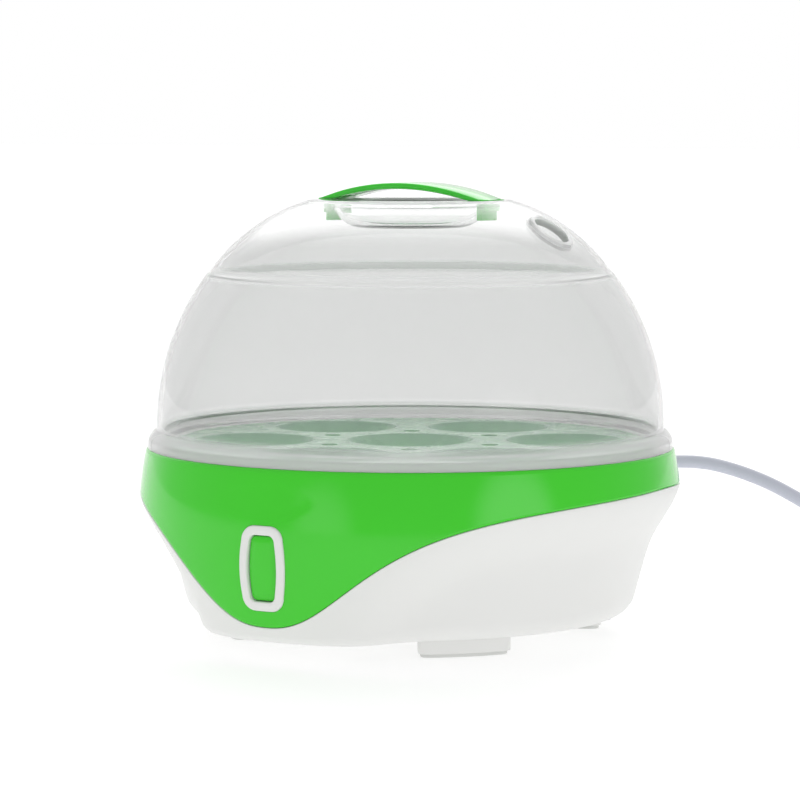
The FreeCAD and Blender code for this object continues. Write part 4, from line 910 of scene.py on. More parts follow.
@dataclass
class PowerCord(SubAssembly):
    """Cord from the back of the housing to its coil and plug, as one line."""

    thickness: float = 5.0
    exit_point: tuple[float, float, float] = (0.0, 121.8, ENTRY_Z)
    lead: tuple[tuple[float, float, float], ...] = (
        (0.0, 130.0, 42.0), (1.5, 142.0, 42.3), (9.0, 155.0, 44.2), (20.0, 162.6, 45.6), (33.0, 167.5, 45.6),
        (45.5, 170.8, 42.6), (58.0, 174.0, 38.0), (70.0, 177.4, 31.4), (82.0, 181.0, 24.0),
        (93.0, 184.7, 16.6), (103.5, 188.6, 10.0), (112.5, 192.4, 5.4), (122.0, 196.4, 3.1),
        (131.5, 200.6, 2.8),
    )
    coil_middle: Pair = (130.1, 233.9)
    coil_start_deg: float = -59.0
    per_turn: int = 24
    # turns made, radius from the coil's middle and height of the cord's own middle line
    coil_course: tuple[tuple[float, float, float], ...] = (
        (0.0, 30.2, 3.2), (0.06, 30.2, 3.7), (0.82, 30.2, 3.7), (0.97, 24.8, 3.7), (1.68, 24.8, 3.7),
        (1.84, 24.8, 8.9), (2.54, 24.8, 8.9), (2.70, 30.2, 8.9), (3.40, 30.2, 8.9), (3.49, 30.0, 12.6),
        (3.59, 27.5, 14.1), (4.08, 27.5, 14.1), (4.166, 29.2, 14.3), (4.208, 31.2, 13.8), (4.26, 35.0, 11.2),
    )
    # the last point is where the plug begins
    tail: tuple[tuple[float, float, float], ...] = (
        (154.6, 262.8, 7.2), (147.0, 269.6, 5.0), (138.5, 274.4, 4.8), (130.0, 276.9, 5.9), (121.0, 277.7, 6.9),
        (111.0, 277.8, 7.0), (101.0, 277.8, 7.0),
    )
    # distance from the cord's end, half width, half height and squareness of each section
    plug_sections: tuple[tuple[float, float, float, float], ...] = (
        (0.0, 3.1, 3.1, 2.0), (0.4, 3.3, 3.3, 2.0), (6.0, 3.7, 3.7, 2.0), (11.2, 4.2, 4.2, 2.0),
        (12.0, 5.6, 5.2, 2.6), (12.8, 6.7, 6.4, 3.4), (14.0, 7.3, 6.9, 4.0), (18.0, 9.9, 6.95, 4.6),
        (23.0, 13.6, 7.0, 5.0), (26.5, 16.2, 7.0, 5.0), (29.5, 17.3, 7.0, 5.4), (33.0, 17.5, 7.0, 5.4),
        (44.6, 17.5, 7.0, 5.4), (45.4, 17.35, 6.85, 5.4), (45.85, 16.9, 6.4, 5.0), (46.0, 16.2, 5.7, 4.6),
    )
    plug_columns: int = 56
    # radius, free length, length held in the plug, and distance between the two
    pin: tuple[float, float, float, float] = (2.0, 19.0, 6.0, 19.0)

    def coil_points(self) -> list[Vector]:
        """Points of the coil's turns, laid side by side and one on another.

        Returns:
            The points, in millimetres.
        """
        points = []
        last = self.coil_course[-1][0]
        for step in range(int(last * self.per_turn) + 1):
            turns = step / self.per_turn
            pairs = zip(self.coil_course, self.coil_course[1:])
            low, high = next(pair for pair in pairs if pair[0][0] <= turns <= pair[1][0])
            share = (turns - low[0]) / (high[0] - low[0])
            radius, height = (low[part] + (high[part] - low[part]) * share for part in (1, 2))
            turn = math.radians(self.coil_start_deg + 360.0 * turns)
            points.append(Vector((self.coil_middle[0] + radius * math.cos(turn),
                                  self.coil_middle[1] + radius * math.sin(turn), height)))
        return points

    def build_line(self) -> tuple[bpy.types.Object, float]:
        """Makes the cord's curve.

        Returns:
            The curve object and its length in metres.
        """
        lead = [Vector(self.exit_point)] + [Vector(point) for point in self.lead]
        points = lead + self.coil_points() + [Vector(point) for point in self.tail]
        curve = bpy.data.curves.new("power_cord_line", "CURVE")
        curve.dimensions = "3D"
        curve.bevel_depth = self.thickness / 2 * MM
        curve.bevel_resolution = 6
        curve.resolution_u = 5
        curve.use_fill_caps = True
        spline = curve.splines.new("NURBS")
        spline.points.add(len(points) - 1)
        for point, place in zip(spline.points, points):
            point.co = (*(place * MM), 1.0)
        spline.order_u = 3
        spline.use_endpoint_u = True
        cord = bpy.data.objects.new("mains_cord", curve)
        bpy.context.scene.collection.objects.link(cord)
        return cord, spline.calc_length()

    def section(self, distance: float, width: float, height: float, square: float) -> Ring:
        """Rounded section of the plug.

        Args:
            distance: Distance from the cord's end.
            width: Half width.
            height: Half height.
            square: 2 is an oval, and more is squarer.

        Returns:
            The ring of points.
        """
        ring = []
        for step in range(self.plug_columns):
            turn = math.tau * step / self.plug_columns
            across, up = math.cos(turn), math.sin(turn)
            y = width * math.copysign(abs(across) ** (2 / square), across)
            z = height * math.copysign(abs(up) ** (2 / square), up)
            ring.append(Vector(self.tail[-1]) + Vector((-distance, y, z)))
        return ring

    def build_plug(self) -> bpy.types.Object:
        """Builds the moulded plug with its soft shoulders.

        Returns:
            The plug.
        """
        rings = [self.section(*sizes) for sizes in self.plug_sections]
        ends = [Vector(self.tail[-1]) + Vector((-sizes[0], 0, 0)) for sizes in self.plug_sections]
        closed = [[ends[0]] * len(rings[0]), *rings, [ends[-1]] * len(rings[0])]
        return smooth(lofted("moulded_plug", closed), 45.0)

    def build_pins(self) -> bpy.types.Object:
        """Builds the two plated pins with rounded tips.

        Returns:
            The pins.
        """
        radius, length, held, pitch = self.pin
        corners = [(0, -held, 0), (radius, -held, 0), (radius, length, 1.4), (0, length, 0)]
        first = turned("plated_plug_pins", corners, 40)
        front = Vector(self.tail[-1]) - Vector((self.plug_sections[-1][0], 0, 0))
        moved(first, front - Vector((0, pitch / 2, 0)), Matrix.Rotation(LAID, 4, "Y"))
        return smooth(joined(first, [copied(first, (0, pitch, 0))]))

    def build(self) -> None:
        self.finish(self.build_plug(), Slot.CORD, Body.BASE, ("plug_body",))
        self.finish(self.build_pins(), Slot.PLUG_METAL, Body.BASE, ("plug_pins",))
        cord, length = self.build_line()
        self.finish(cord, Slot.CORD, Body.BASE, ("power_cord", "cord_coil", "cord_tail"))
        [part * MM for part in self.exit_point]
        LOG.info("cord is %.3f m long", length)


# ---------------------------------------------------------------- housing and band


@dataclass(frozen=True)
class Dip:
    """Line round the body: its level, how far it dips in front, how wide and steeply, and its dip behind."""

    level: float
    front: float
    half: float
    power: float
    back: float


@dataclass
class Skin:
    """Outer skin of the housing and band: a radius for every angle and height."""

    rim_r: float = 92.1
    rim_z: float = 64.7
    belly_r: float = 95.1
    belly_z: float = 36.0
    base_z: float = 6.7
    cone_r: float = 75.6
    cone_slope: float = 0.25
    chin_out: float = 13.3
    # half angle and steepness of the chin, and of the edge's smaller rounding there
    chin_bell: Pair = (24.5, 7.0)
    edge_bell: Pair = (26.0, 6.0)
    edge_least: float = 3.0
    edge_more: float = 3.0
    soft: float = 3.0
    flank_power: float = 1.45
    # angle where the back begins, and degrees until it is fully there
    back_start: Pair = (92.0, 40.0)
    seam: Dip = Dip(55.0, 42.8, 25.0, 2.45, 2.6)
    fold: Dip = Dip(36.8, 30.1, 33.0, 5.0, 2.3)

    @staticmethod
    def bell(angle: float, half: float, power: float) -> float:
        """Bump at the front: 1 there, 1/2 at the half angle and 0 behind.

        Args:
            angle: Degrees from the front.
            half: Half angle in degrees.
            power: Steepness of its sides.

        Returns:
            The bump's height.
        """
        return 1 / (1 + (abs(angle) / half) ** power)

    def behind(self, angle: float) -> float:
        """Share that grows from 0 at the sides to 1 at the back."""
        start, over = self.back_start
        return smoothstep((abs(angle) - start) / over)

    def dipped(self, dip: Dip, angle: float) -> float:
        """Height of a line round the body at an angle."""
        front = dip.front * self.bell(angle, dip.half, dip.power)
        return dip.level - front - dip.back * self.behind(angle)

    def wall(self, height: float) -> float:
        """Radius of the band at a height."""
        rise, swell = self.rim_z - self.belly_z, self.belly_r - self.rim_r
        bow = (rise ** 2 + swell ** 2) / (2 * swell)
        return self.belly_r - bow + math.sqrt(bow ** 2 - (height - self.belly_z) ** 2)

    def line(self, angle: float) -> float:
        """Height of the line between the green band and the white housing."""
        return self.dipped(self.seam, angle)

    def crease(self, angle: float) -> float:
        """Height of the crease under the swept flank."""
        return self.dipped(self.fold, angle)

    def edge(self, angle: float) -> float:
        """Rounding of the bottom edge: small under the chin, larger behind."""
        return self.edge_least + self.edge_more * (1 - self.bell(angle, *self.edge_bell))

    def lower(self, angle: float, height: float) -> float:
        """Radius of the tapered lower body, with the chin under the panel."""
        chin = self.chin_out * self.bell(angle, *self.chin_bell)
        return self.cone_r + self.cone_slope * height + chin

    def side(self, angle: float, height: float) -> float:
        """Radius of the skin below the line.

        Args:
            angle: Degrees from the front.
            height: Height above the table.

        Returns:
            The radius.
        """
        top, fold = self.line(angle), self.crease(angle)
        top_radius, body = self.wall(top), self.lower(angle, height)
        share = max(0.0, (top - height) / (top - fold)) ** self.flank_power
        flank = top_radius - (top_radius - self.lower(angle, fold)) * share
        step = top_radius - self.lower(angle, top)
        rounding = (math.hypot(step, self.soft) - abs(step)) / 2
        return (flank + body + math.hypot(flank - body, self.soft)) / 2 - rounding


SKIN = Skin()


@dataclass
class Housing(SubAssembly):
    """White lower housing with its feet, vents and cord boss, and the pads under the feet."""

    wall: float = 2.2
    lap: float = 2.4
    lap_wall: float = 1.6
    columns: int = 288
    straight_rows: int = 26
    foot_angles: dict[str, float] = field(default_factory=lambda: {
        "front_right": 47.4, "front_left": -47.4, "back_right": 132.6, "back_left": -132.6})
    foot_span: float = 28.6
    foot_radii: Pair = (57.0, 67.0)
    pad: Pair = (1.2, 0.8)
    # radius, start and end of the boss along +Y
    boss: tuple[float, float, float] = (7.6, 80.0, 95.6)
    boss_bore: float = 4.3
    edge_turns: tuple[int, ...] = (0, 12, 24, 36, 48, 60, 75, 90)
    least_round: float = 0.4
    flat_r: float = 30.0
    # spacing and radius of the floor's vents, and distance and radius of its screw holes
    vents: Pair = (20.0, 2.0)
    screws: Pair = (68.4, 1.6)
    drilled: Pair = (4.0, 12.0)

    def skin_rows(self, inset: float, floor: float, turns: Sequence[float]) -> list[Row]:
        """Rows of the skin from its bottom edge up to the line.

        Args:
            inset: Distance inside the outer skin.
            floor: Height of the bottom.
            turns: Degrees round the bottom edge where a row lies.

        Returns:
            The rows.
        """
        def rounded(turn: float) -> Row:
            def row(angle: float) -> Pair:
                rounding = max(self.least_round, SKIN.edge(angle) - inset)
                height = floor + rounding * (1 - math.cos(turn))
                return SKIN.side(angle, height) - inset - rounding * (1 - math.sin(turn)), height
            return row

        def straight(share: float) -> Row:
            def row(angle: float) -> Pair:
                start = floor + max(self.least_round, SKIN.edge(angle) - inset)
                height = start + (SKIN.line(angle) - start) * share
                return SKIN.side(angle, height) - inset, height
            return row

        arc_rows = [rounded(math.radians(turn)) for turn in turns]
        return arc_rows + [straight(step / self.straight_rows) for step in range(1, self.straight_rows + 1)]

    def shell_rows(self) -> list[Row]:
        """Rows of the whole shell, from the floor's middle outside to its middle inside.

        Returns:
            The rows.
        """
        outer = self.skin_rows(0.0, SKIN.base_z, self.edge_turns)
        inner = self.skin_rows(self.wall, SKIN.base_z + self.wall, self.edge_turns)
        crest = 0.35

        def at_line(outset: float, drop: float) -> Row:
            return lambda angle: (SKIN.wall(SKIN.line(angle)) + outset, SKIN.line(angle) - drop)

        def lip(inset: float, rise: float) -> Row:
            return lambda angle: (SKIN.wall(SKIN.line(angle) + rise) - inset, SKIN.line(angle) + rise)

        top = [at_line(-0.02, crest), at_line(-0.12, 0.12), at_line(-crest, 0.0), at_line(-self.lap, 0.0)]
        ends = [lip(self.lap, 2.2), lip(self.lap + 0.2, 2.4), lip(self.lap + self.lap_wall, 2.4)]

        def level(radius: float, rise: float) -> Row:
            return lambda _angle: (radius, SKIN.base_z + rise)

        floor = [level(AXIS_SPECK, 0.0), level(self.flat_r, 0.0)]
        inside = [level(self.flat_r, self.wall), level(AXIS_SPECK, self.wall)]
        return floor + outer[:-1] + top + ends + list(reversed(inner)) + inside

    def foot_outline(self, angle: float, inset: float) -> list[Pair]:
        """Outline of an arc-shaped foot, drawn in all round.

        Args:
            angle: Its middle, in degrees from the front.
            inset: Distance it is drawn in by.

        Returns:
            Points of the outline, in plan.
        """
        low, high = self.foot_radii[0] + inset, self.foot_radii[1] - inset
        half = self.foot_span / 2 - math.degrees(inset / high)
        round_deg, round_r = math.degrees(2.0 / high), 2.0
        shares = [step / 12 for step in range(13)]
        spots = [(high, angle - half + round_deg + 2 * (half - round_deg) * share) for share in shares]
        spots += [(high - 0.6, angle + half - round_deg * 0.3), (high - round_r, angle + half)]
        spots += [(low + round_r, angle + half), (low + 0.6, angle + half - round_deg * 0.3)]
        spots += [(low, angle + half - round_deg - 2 * (half - round_deg) * share) for share in shares]
        spots += [(low + 0.6, angle - half + round_deg * 0.3), (low + round_r, angle - half)]
        spots += [(high - round_r, angle - half), (high - 0.6, angle - half + round_deg * 0.3)]
        return [tuple(polar(radius, turn, 0)[:2]) for radius, turn in spots]

    def block(self, name: str, angle: float, inset: float, low: float, high: float) -> bpy.types.Object:
        """Foot or pad with a rounded lower edge.

        Args:
            name: Name of the piece.
            angle: Its middle, in degrees from the front.
            inset: Distance it is drawn in by.
            low: Height of its bottom.
            high: Height of its top.

        Returns:
            The piece.
        """
        centre = polar(sum(self.foot_radii) / 2, angle, 0)
        levels = [(0.45, 0.0), (0.12, 0.12), (0.0, 0.45), (0.0, high - low)]
        rings = []
        for draw, rise in levels:
            outline = self.foot_outline(angle, inset + draw)
            rings.append([Vector((x, y, low + rise)) for x, y in outline])
        below, above = ([Vector((centre.x, centre.y, height))] * len(rings[0]) for height in (low, high))
        return smooth(lofted(name, [below, *rings, above]))

    def build_boss(self) -> bpy.types.Object:
        """Round boss at the back that the cord comes out of.

        Returns:
            The boss.
        """
        (radius, start, end), bore = self.boss, self.boss_bore
        ring = [(bore, start, 0), (radius, start, 0), (radius, end, 0.8), (bore, end, 0.4), (bore, start, 0)]
        boss = turned("cord_boss", ring, 64)
        return smooth(moved(boss, (0, 0, ENTRY_Z), Matrix.Rotation(LAID, 4, "X")))

    def drill(self, shell: bpy.types.Object) -> None:
        """Drills the floor vents and screw holes.

        Args:
            shell: The housing.
        """
        spacing, vent_r = self.vents
        spots = [(spacing * ring, vent_r, 180.0 - 60.0 / ring * index)
                 for ring in (1, 2) for index in range(6 * ring)]
        spots += [(*self.screws, 20.0 + 90.0 * index) for index in range(4)]
        low, high = self.drilled
        drills = []
        for distance, radius, angle in spots:
            profile = [(AXIS_SPECK, low), (radius, low), (radius, high), (AXIS_SPECK, high)]
            drills.append(moved(lofted("drill", lathe_rings(profile, 20)), polar(distance, angle, 0)))
        carved(shell, joined(drills[0], drills[1:]))

    def build(self) -> None:
        """Builds the housing and its foot pads."""
        shell = lofted("white_housing", turned_rings(self.shell_rows(), self.columns))
        self.drill(shell)
        smooth(shell, 40.0)
        thick, inset = self.pad
        feet = [self.block(f"foot_{side}", angle, 0.0, thick, SKIN.base_z + 1.0)
                for side, angle in self.foot_angles.items()]
        joined(shell, [*feet, self.build_boss()])
        self.finish(shell, Slot.WHITE, Body.BASE, ("base_housing",))
        for side, angle in self.foot_angles.items():
            pad = self.block(f"soft_pad_{side}", angle, inset, 0.0, thick)
            self.finish(pad, Slot.RUBBER, Body.BASE, (f"foot_pad_{side}",))


@dataclass
class Band(SubAssembly):
    """Green band with its tongue-shaped panel, the white button ring and the green button cap."""

    wall: float = 2.2
    lip_r: float = 86.5
    gap: float = 0.12
    columns: int = 320
    rows: int = 34
    pad_size: Pair = (36.0, 11.0)
    pad_z: float = 54.4
    pad_depth: float = 0.25
    pad_half_deg: float = 20.0
    pad_edge: float = 0.16
    button_z: float = 32.0
    ring: Pair = (17.6, 28.3)
    ring_corner: float = 5.0
    ring_bulge: float = 0.8
    ring_back: float = -3.4
    opening_more: float = 0.2
    opening_corner: float = 5.1
    opening_ends: Pair = (-110.0, -70.0)
    inner_corner: float = 2.4
    ring_wall: float = 3.1
    ring_proud: float = 0.7
    cap_gap: float = 0.35
    cap_sunk: float = 0.4
    cap_depth: float = 4.6
    cap_bulge: float = 0.6

    def dimple(self, angle: float, height: float) -> float:
        """Depth of the blank oval pad at a spot of the band.

        Args:
            angle: Degrees from the front.
            height: Height above the table.

        Returns:
            The depth.
        """
        if abs(angle) > self.pad_half_deg:
            return 0.0
        across = SKIN.rim_r * math.sin(math.radians(angle)) / (self.pad_size[0] / 2)
        up = (height - self.pad_z) / (self.pad_size[1] / 2)
        return self.pad_depth * smoothstep((1.0 - math.hypot(across, up)) / self.pad_edge)

    def band_rows(self) -> list[Row]:
        """Rows round the band's section, from its lower edge outside, over the lip and down inside.

        Returns:
            The rows.
        """
        def low(inset: float, rise: float) -> Row:
            def row(angle: float) -> Pair:
                height = SKIN.line(angle) + self.gap + rise
                return SKIN.wall(height) - inset, height
            return row

        def outside(share: float) -> Row:
            def row(angle: float) -> Pair:
                start, end = SKIN.line(angle) + self.gap + 0.5, SKIN.rim_z - 0.9
                height = start + (end - start) * share
                return SKIN.wall(height) - self.dimple(angle, height), height
            return row

        rim, top = SKIN.rim_r, SKIN.rim_z
        lip = [(rim - 0.05, top - 0.55), (rim - 0.3, top - 0.2), (rim - 0.9, top), (self.lip_r + 0.4, top),
               (self.lip_r, top - 0.4), (self.lip_r, top - self.wall), (rim - self.wall, top - self.wall)]
        edge = [low(self.wall, 0.0), low(0.5, 0.0), low(0.14, 0.14), low(0.0, 0.5)]
        body = [outside(step / self.rows) for step in range(1, self.rows + 1)]
        over = [lambda _angle, spot=spot: spot for spot in lip]

        def inside(share: float) -> Row:
            def row(angle: float) -> Pair:
                start, end = SKIN.line(angle) + self.gap, SKIN.rim_z - self.wall
                height = end + (start - end) * share
                return SKIN.wall(height) - self.wall, height
            return row

        inner = [inside(step / 10) for step in range(1, 11)]
        return edge + body + over + inner

    def front_ring(self, outline: Barrel, out: float) -> Ring:
        """Outline laid on the band's front.

        Args:
            outline: The outline.
            out: Distance proud of the band's surface.

        Returns:
            The ring of points.
        """
        return [Vector((x, -math.sqrt(SKIN.wall(z) ** 2 - x * x) - out, z)) for x, z in outline.points()]

    def flat_ring(self, outline: Barrel, y: float) -> Ring:
        """Outline in an upright plane across the body."""
        return [Vector((x, y, z)) for x, z in outline.points()]

    def build_band(self) -> bpy.types.Object:
        """Builds the band and cuts the button's opening.

        Returns:
            The band.
        """
        band = lofted("green_band", turned_rings(self.band_rows(), self.columns))
        width, height = (side + self.opening_more for side in self.ring)
        opening = Barrel(width, height, self.opening_corner, self.ring_bulge, self.button_z)
        rings = [self.flat_ring(opening, y) for y in self.opening_ends]
        middle = [[Vector((0, y, self.button_z))] * len(rings[0]) for y in self.opening_ends]
        tool = lofted("opening", [middle[0], *rings, middle[1]])
        return smooth(carved(band, tool), 40.0)

    def build_ring(self) -> bpy.types.Object:
        """Builds the white ring round the button.

        Returns:
            The ring.
        """
        outer = Barrel(*self.ring, self.ring_corner, self.ring_bulge, self.button_z)
        width, height = (side - 2 * self.ring_wall for side in self.ring)
        inner = Barrel(width, height, self.inner_corner, self.ring_bulge, self.button_z)
        proud, back = self.ring_proud, self.ring_back
        steps = [(outer, back), (outer, proud - 0.6), (outer.inset(0.18), proud - 0.18),
                 (outer.inset(0.6), proud), (outer.inset(1.55), proud), (inner.inset(-0.5), proud),
                 (inner.inset(-0.15), proud - 0.15), (inner, proud - 0.5), (inner, back), (outer, back)]
        rings = [self.front_ring(shape, out) for shape, out in steps]
        return smooth(lofted("white_button_ring", rings), 50.0)

    def build_cap(self) -> bpy.types.Object:
        """Builds the green cap, with soft edges and a slightly crowned face.

        Returns:
            The cap.
        """
        width, height = (side - 2 * self.ring_wall for side in self.ring)
        bore = Barrel(width, height, self.inner_corner, self.cap_bulge, self.button_z)
        face = bore.inset(self.cap_gap)
        out = -self.cap_sunk
        steps = [(face, -self.cap_depth), (face, out - 0.6), (face.inset(0.2), out - 0.2),
                 (face.inset(0.7), out), (face.inset(2.2), out + 0.12)]
        rings = [self.front_ring(shape, depth) for shape, depth in steps]
        middle_y = -SKIN.wall(self.button_z)
        count = len(rings[0])
        rings = [[Vector((0, middle_y + self.cap_depth, self.button_z))] * count, *rings,
                 [Vector((0, middle_y - out - 0.16, self.button_z))] * count]
        return smooth(lofted("green_button_cap", rings), 50.0)

    def build(self) -> None:
        """Builds the band, the ring and the cap."""
        self.finish(self.build_band(), Slot.GREEN, Body.BASE, ("band_shell",))
        self.finish(self.build_ring(), Slot.WHITE, Body.BASE, ("button_bezel",))
        self.finish(self.build_cap(), Slot.GREEN, Body.BUTTON, ("button_cap",))


# ---------------------------------------------------------------- rack, plate and lid


@dataclass
class Rack(SubAssembly):
    """Pale green egg rack with seven rolled seats, and the steel plate under it."""

    radius: float = 84.6
    top_z: float = 66.6
    foot_z: float = 62.5
    sheet: float = 2.0
    seat_ring: float = 55.5
    seat_r: float = 21.5
    hole_r: float = 15.5
    depth: float = 8.0
    steam_ring: float = 32.0
    steam_r: float = 3.0
    skirt: float = 1.8
    plate_floor: float = 40.0
    plate_lip: float = 47.5
    plate_sheet: float = 1.0

    def seat_places(self) -> list[Vector]:
        """Middles of the seats: one in the middle and six round it."""
        return [Vector((0, 0, 0))] + [polar(self.seat_ring, 60.0 * index, 0) for index in range(6)]

    def build_disc(self) -> bpy.types.Object:
        """Builds the disc with its skirt and cuts the seats and steam holes.

        Returns:
            The disc.
        """
        outer, top, foot = self.radius, self.top_z, self.foot_z
        inner, under = outer - self.skirt, top - self.sheet
        corners = [(0, top, 0), (outer, top, 1.0), (outer, foot, 0.4), (inner, foot, 0.4),
                   (inner, under, 0.6), (0, under, 0)]
        disc = turned("pale_egg_rack", corners, 180)
        drills = []
        holes = [(spot, self.seat_r + 0.6, 64) for spot in self.seat_places()]
        holes += [(polar(self.steam_ring, 150.0 - 60.0 * index, 0), self.steam_r, 28) for index in range(6)]
        low, high = top - 10, top + 10
        for spot, radius, columns in holes:
            profile = [(AXIS_SPECK, low), (radius, low), (radius, high), (AXIS_SPECK, high)]
            drills.append(moved(lofted("drill", lathe_rings(profile, columns)), spot))
        return carved(disc, joined(drills[0], drills[1:]))

    def build_seat(self) -> bpy.types.Object:
        """Builds one seat: a rolled rim and a dished wall down to its hole.

        Returns:
            The seat.
        """
        top, low, wall, rim = self.top_z, self.top_z - self.depth, self.skirt, self.seat_r
        corners = [(rim + 1.5, top - 1.9, 0), (rim + 1.5, top - 0.2, 0.3), (rim + 0.6, top + 0.25, 0.5),
                   (rim, top - 0.4, 0.9), (self.hole_r, low, 0.5), (self.hole_r + wall, low, 0.5),
                   (rim + 1.0, top - 1.9, 0), (rim + 1.5, top - 1.9, 0)]
        return turned("seat", corners, 72)

    def build_plate(self) -> bpy.types.Object:
        """Builds the dished steel plate with its rolled lip.

        Returns:
            The plate.
        """
        floor, lip, sheet = self.plate_floor, self.plate_lip, self.plate_sheet
        corners = [(0, floor, 0), (62.0, floor, 2.5), (64.3, lip, 1.2), (70.5, lip, 0.3),
                   (70.5, lip + sheet, 0.3), (63.3, lip + sheet, 1.6), (61.0, floor + sheet, 2.2),
                   (0, floor + sheet, 0)]
        return smooth(turned("steel_water_plate", corners, 180))

    def build(self) -> None:
        """Builds the rack and the plate."""
        seat = self.build_seat()
        seats = [copied(seat, spot) for spot in self.seat_places()[1:]]
        rack = smooth(joined(self.build_disc(), [seat, *seats]), 40.0)
        self.finish(rack, Slot.GREEN, Body.RACK, ("egg_rack",), RACK_GREEN)
        self.finish(self.build_plate(), Slot.PLATE, Body.BASE, ("heating_plate",))


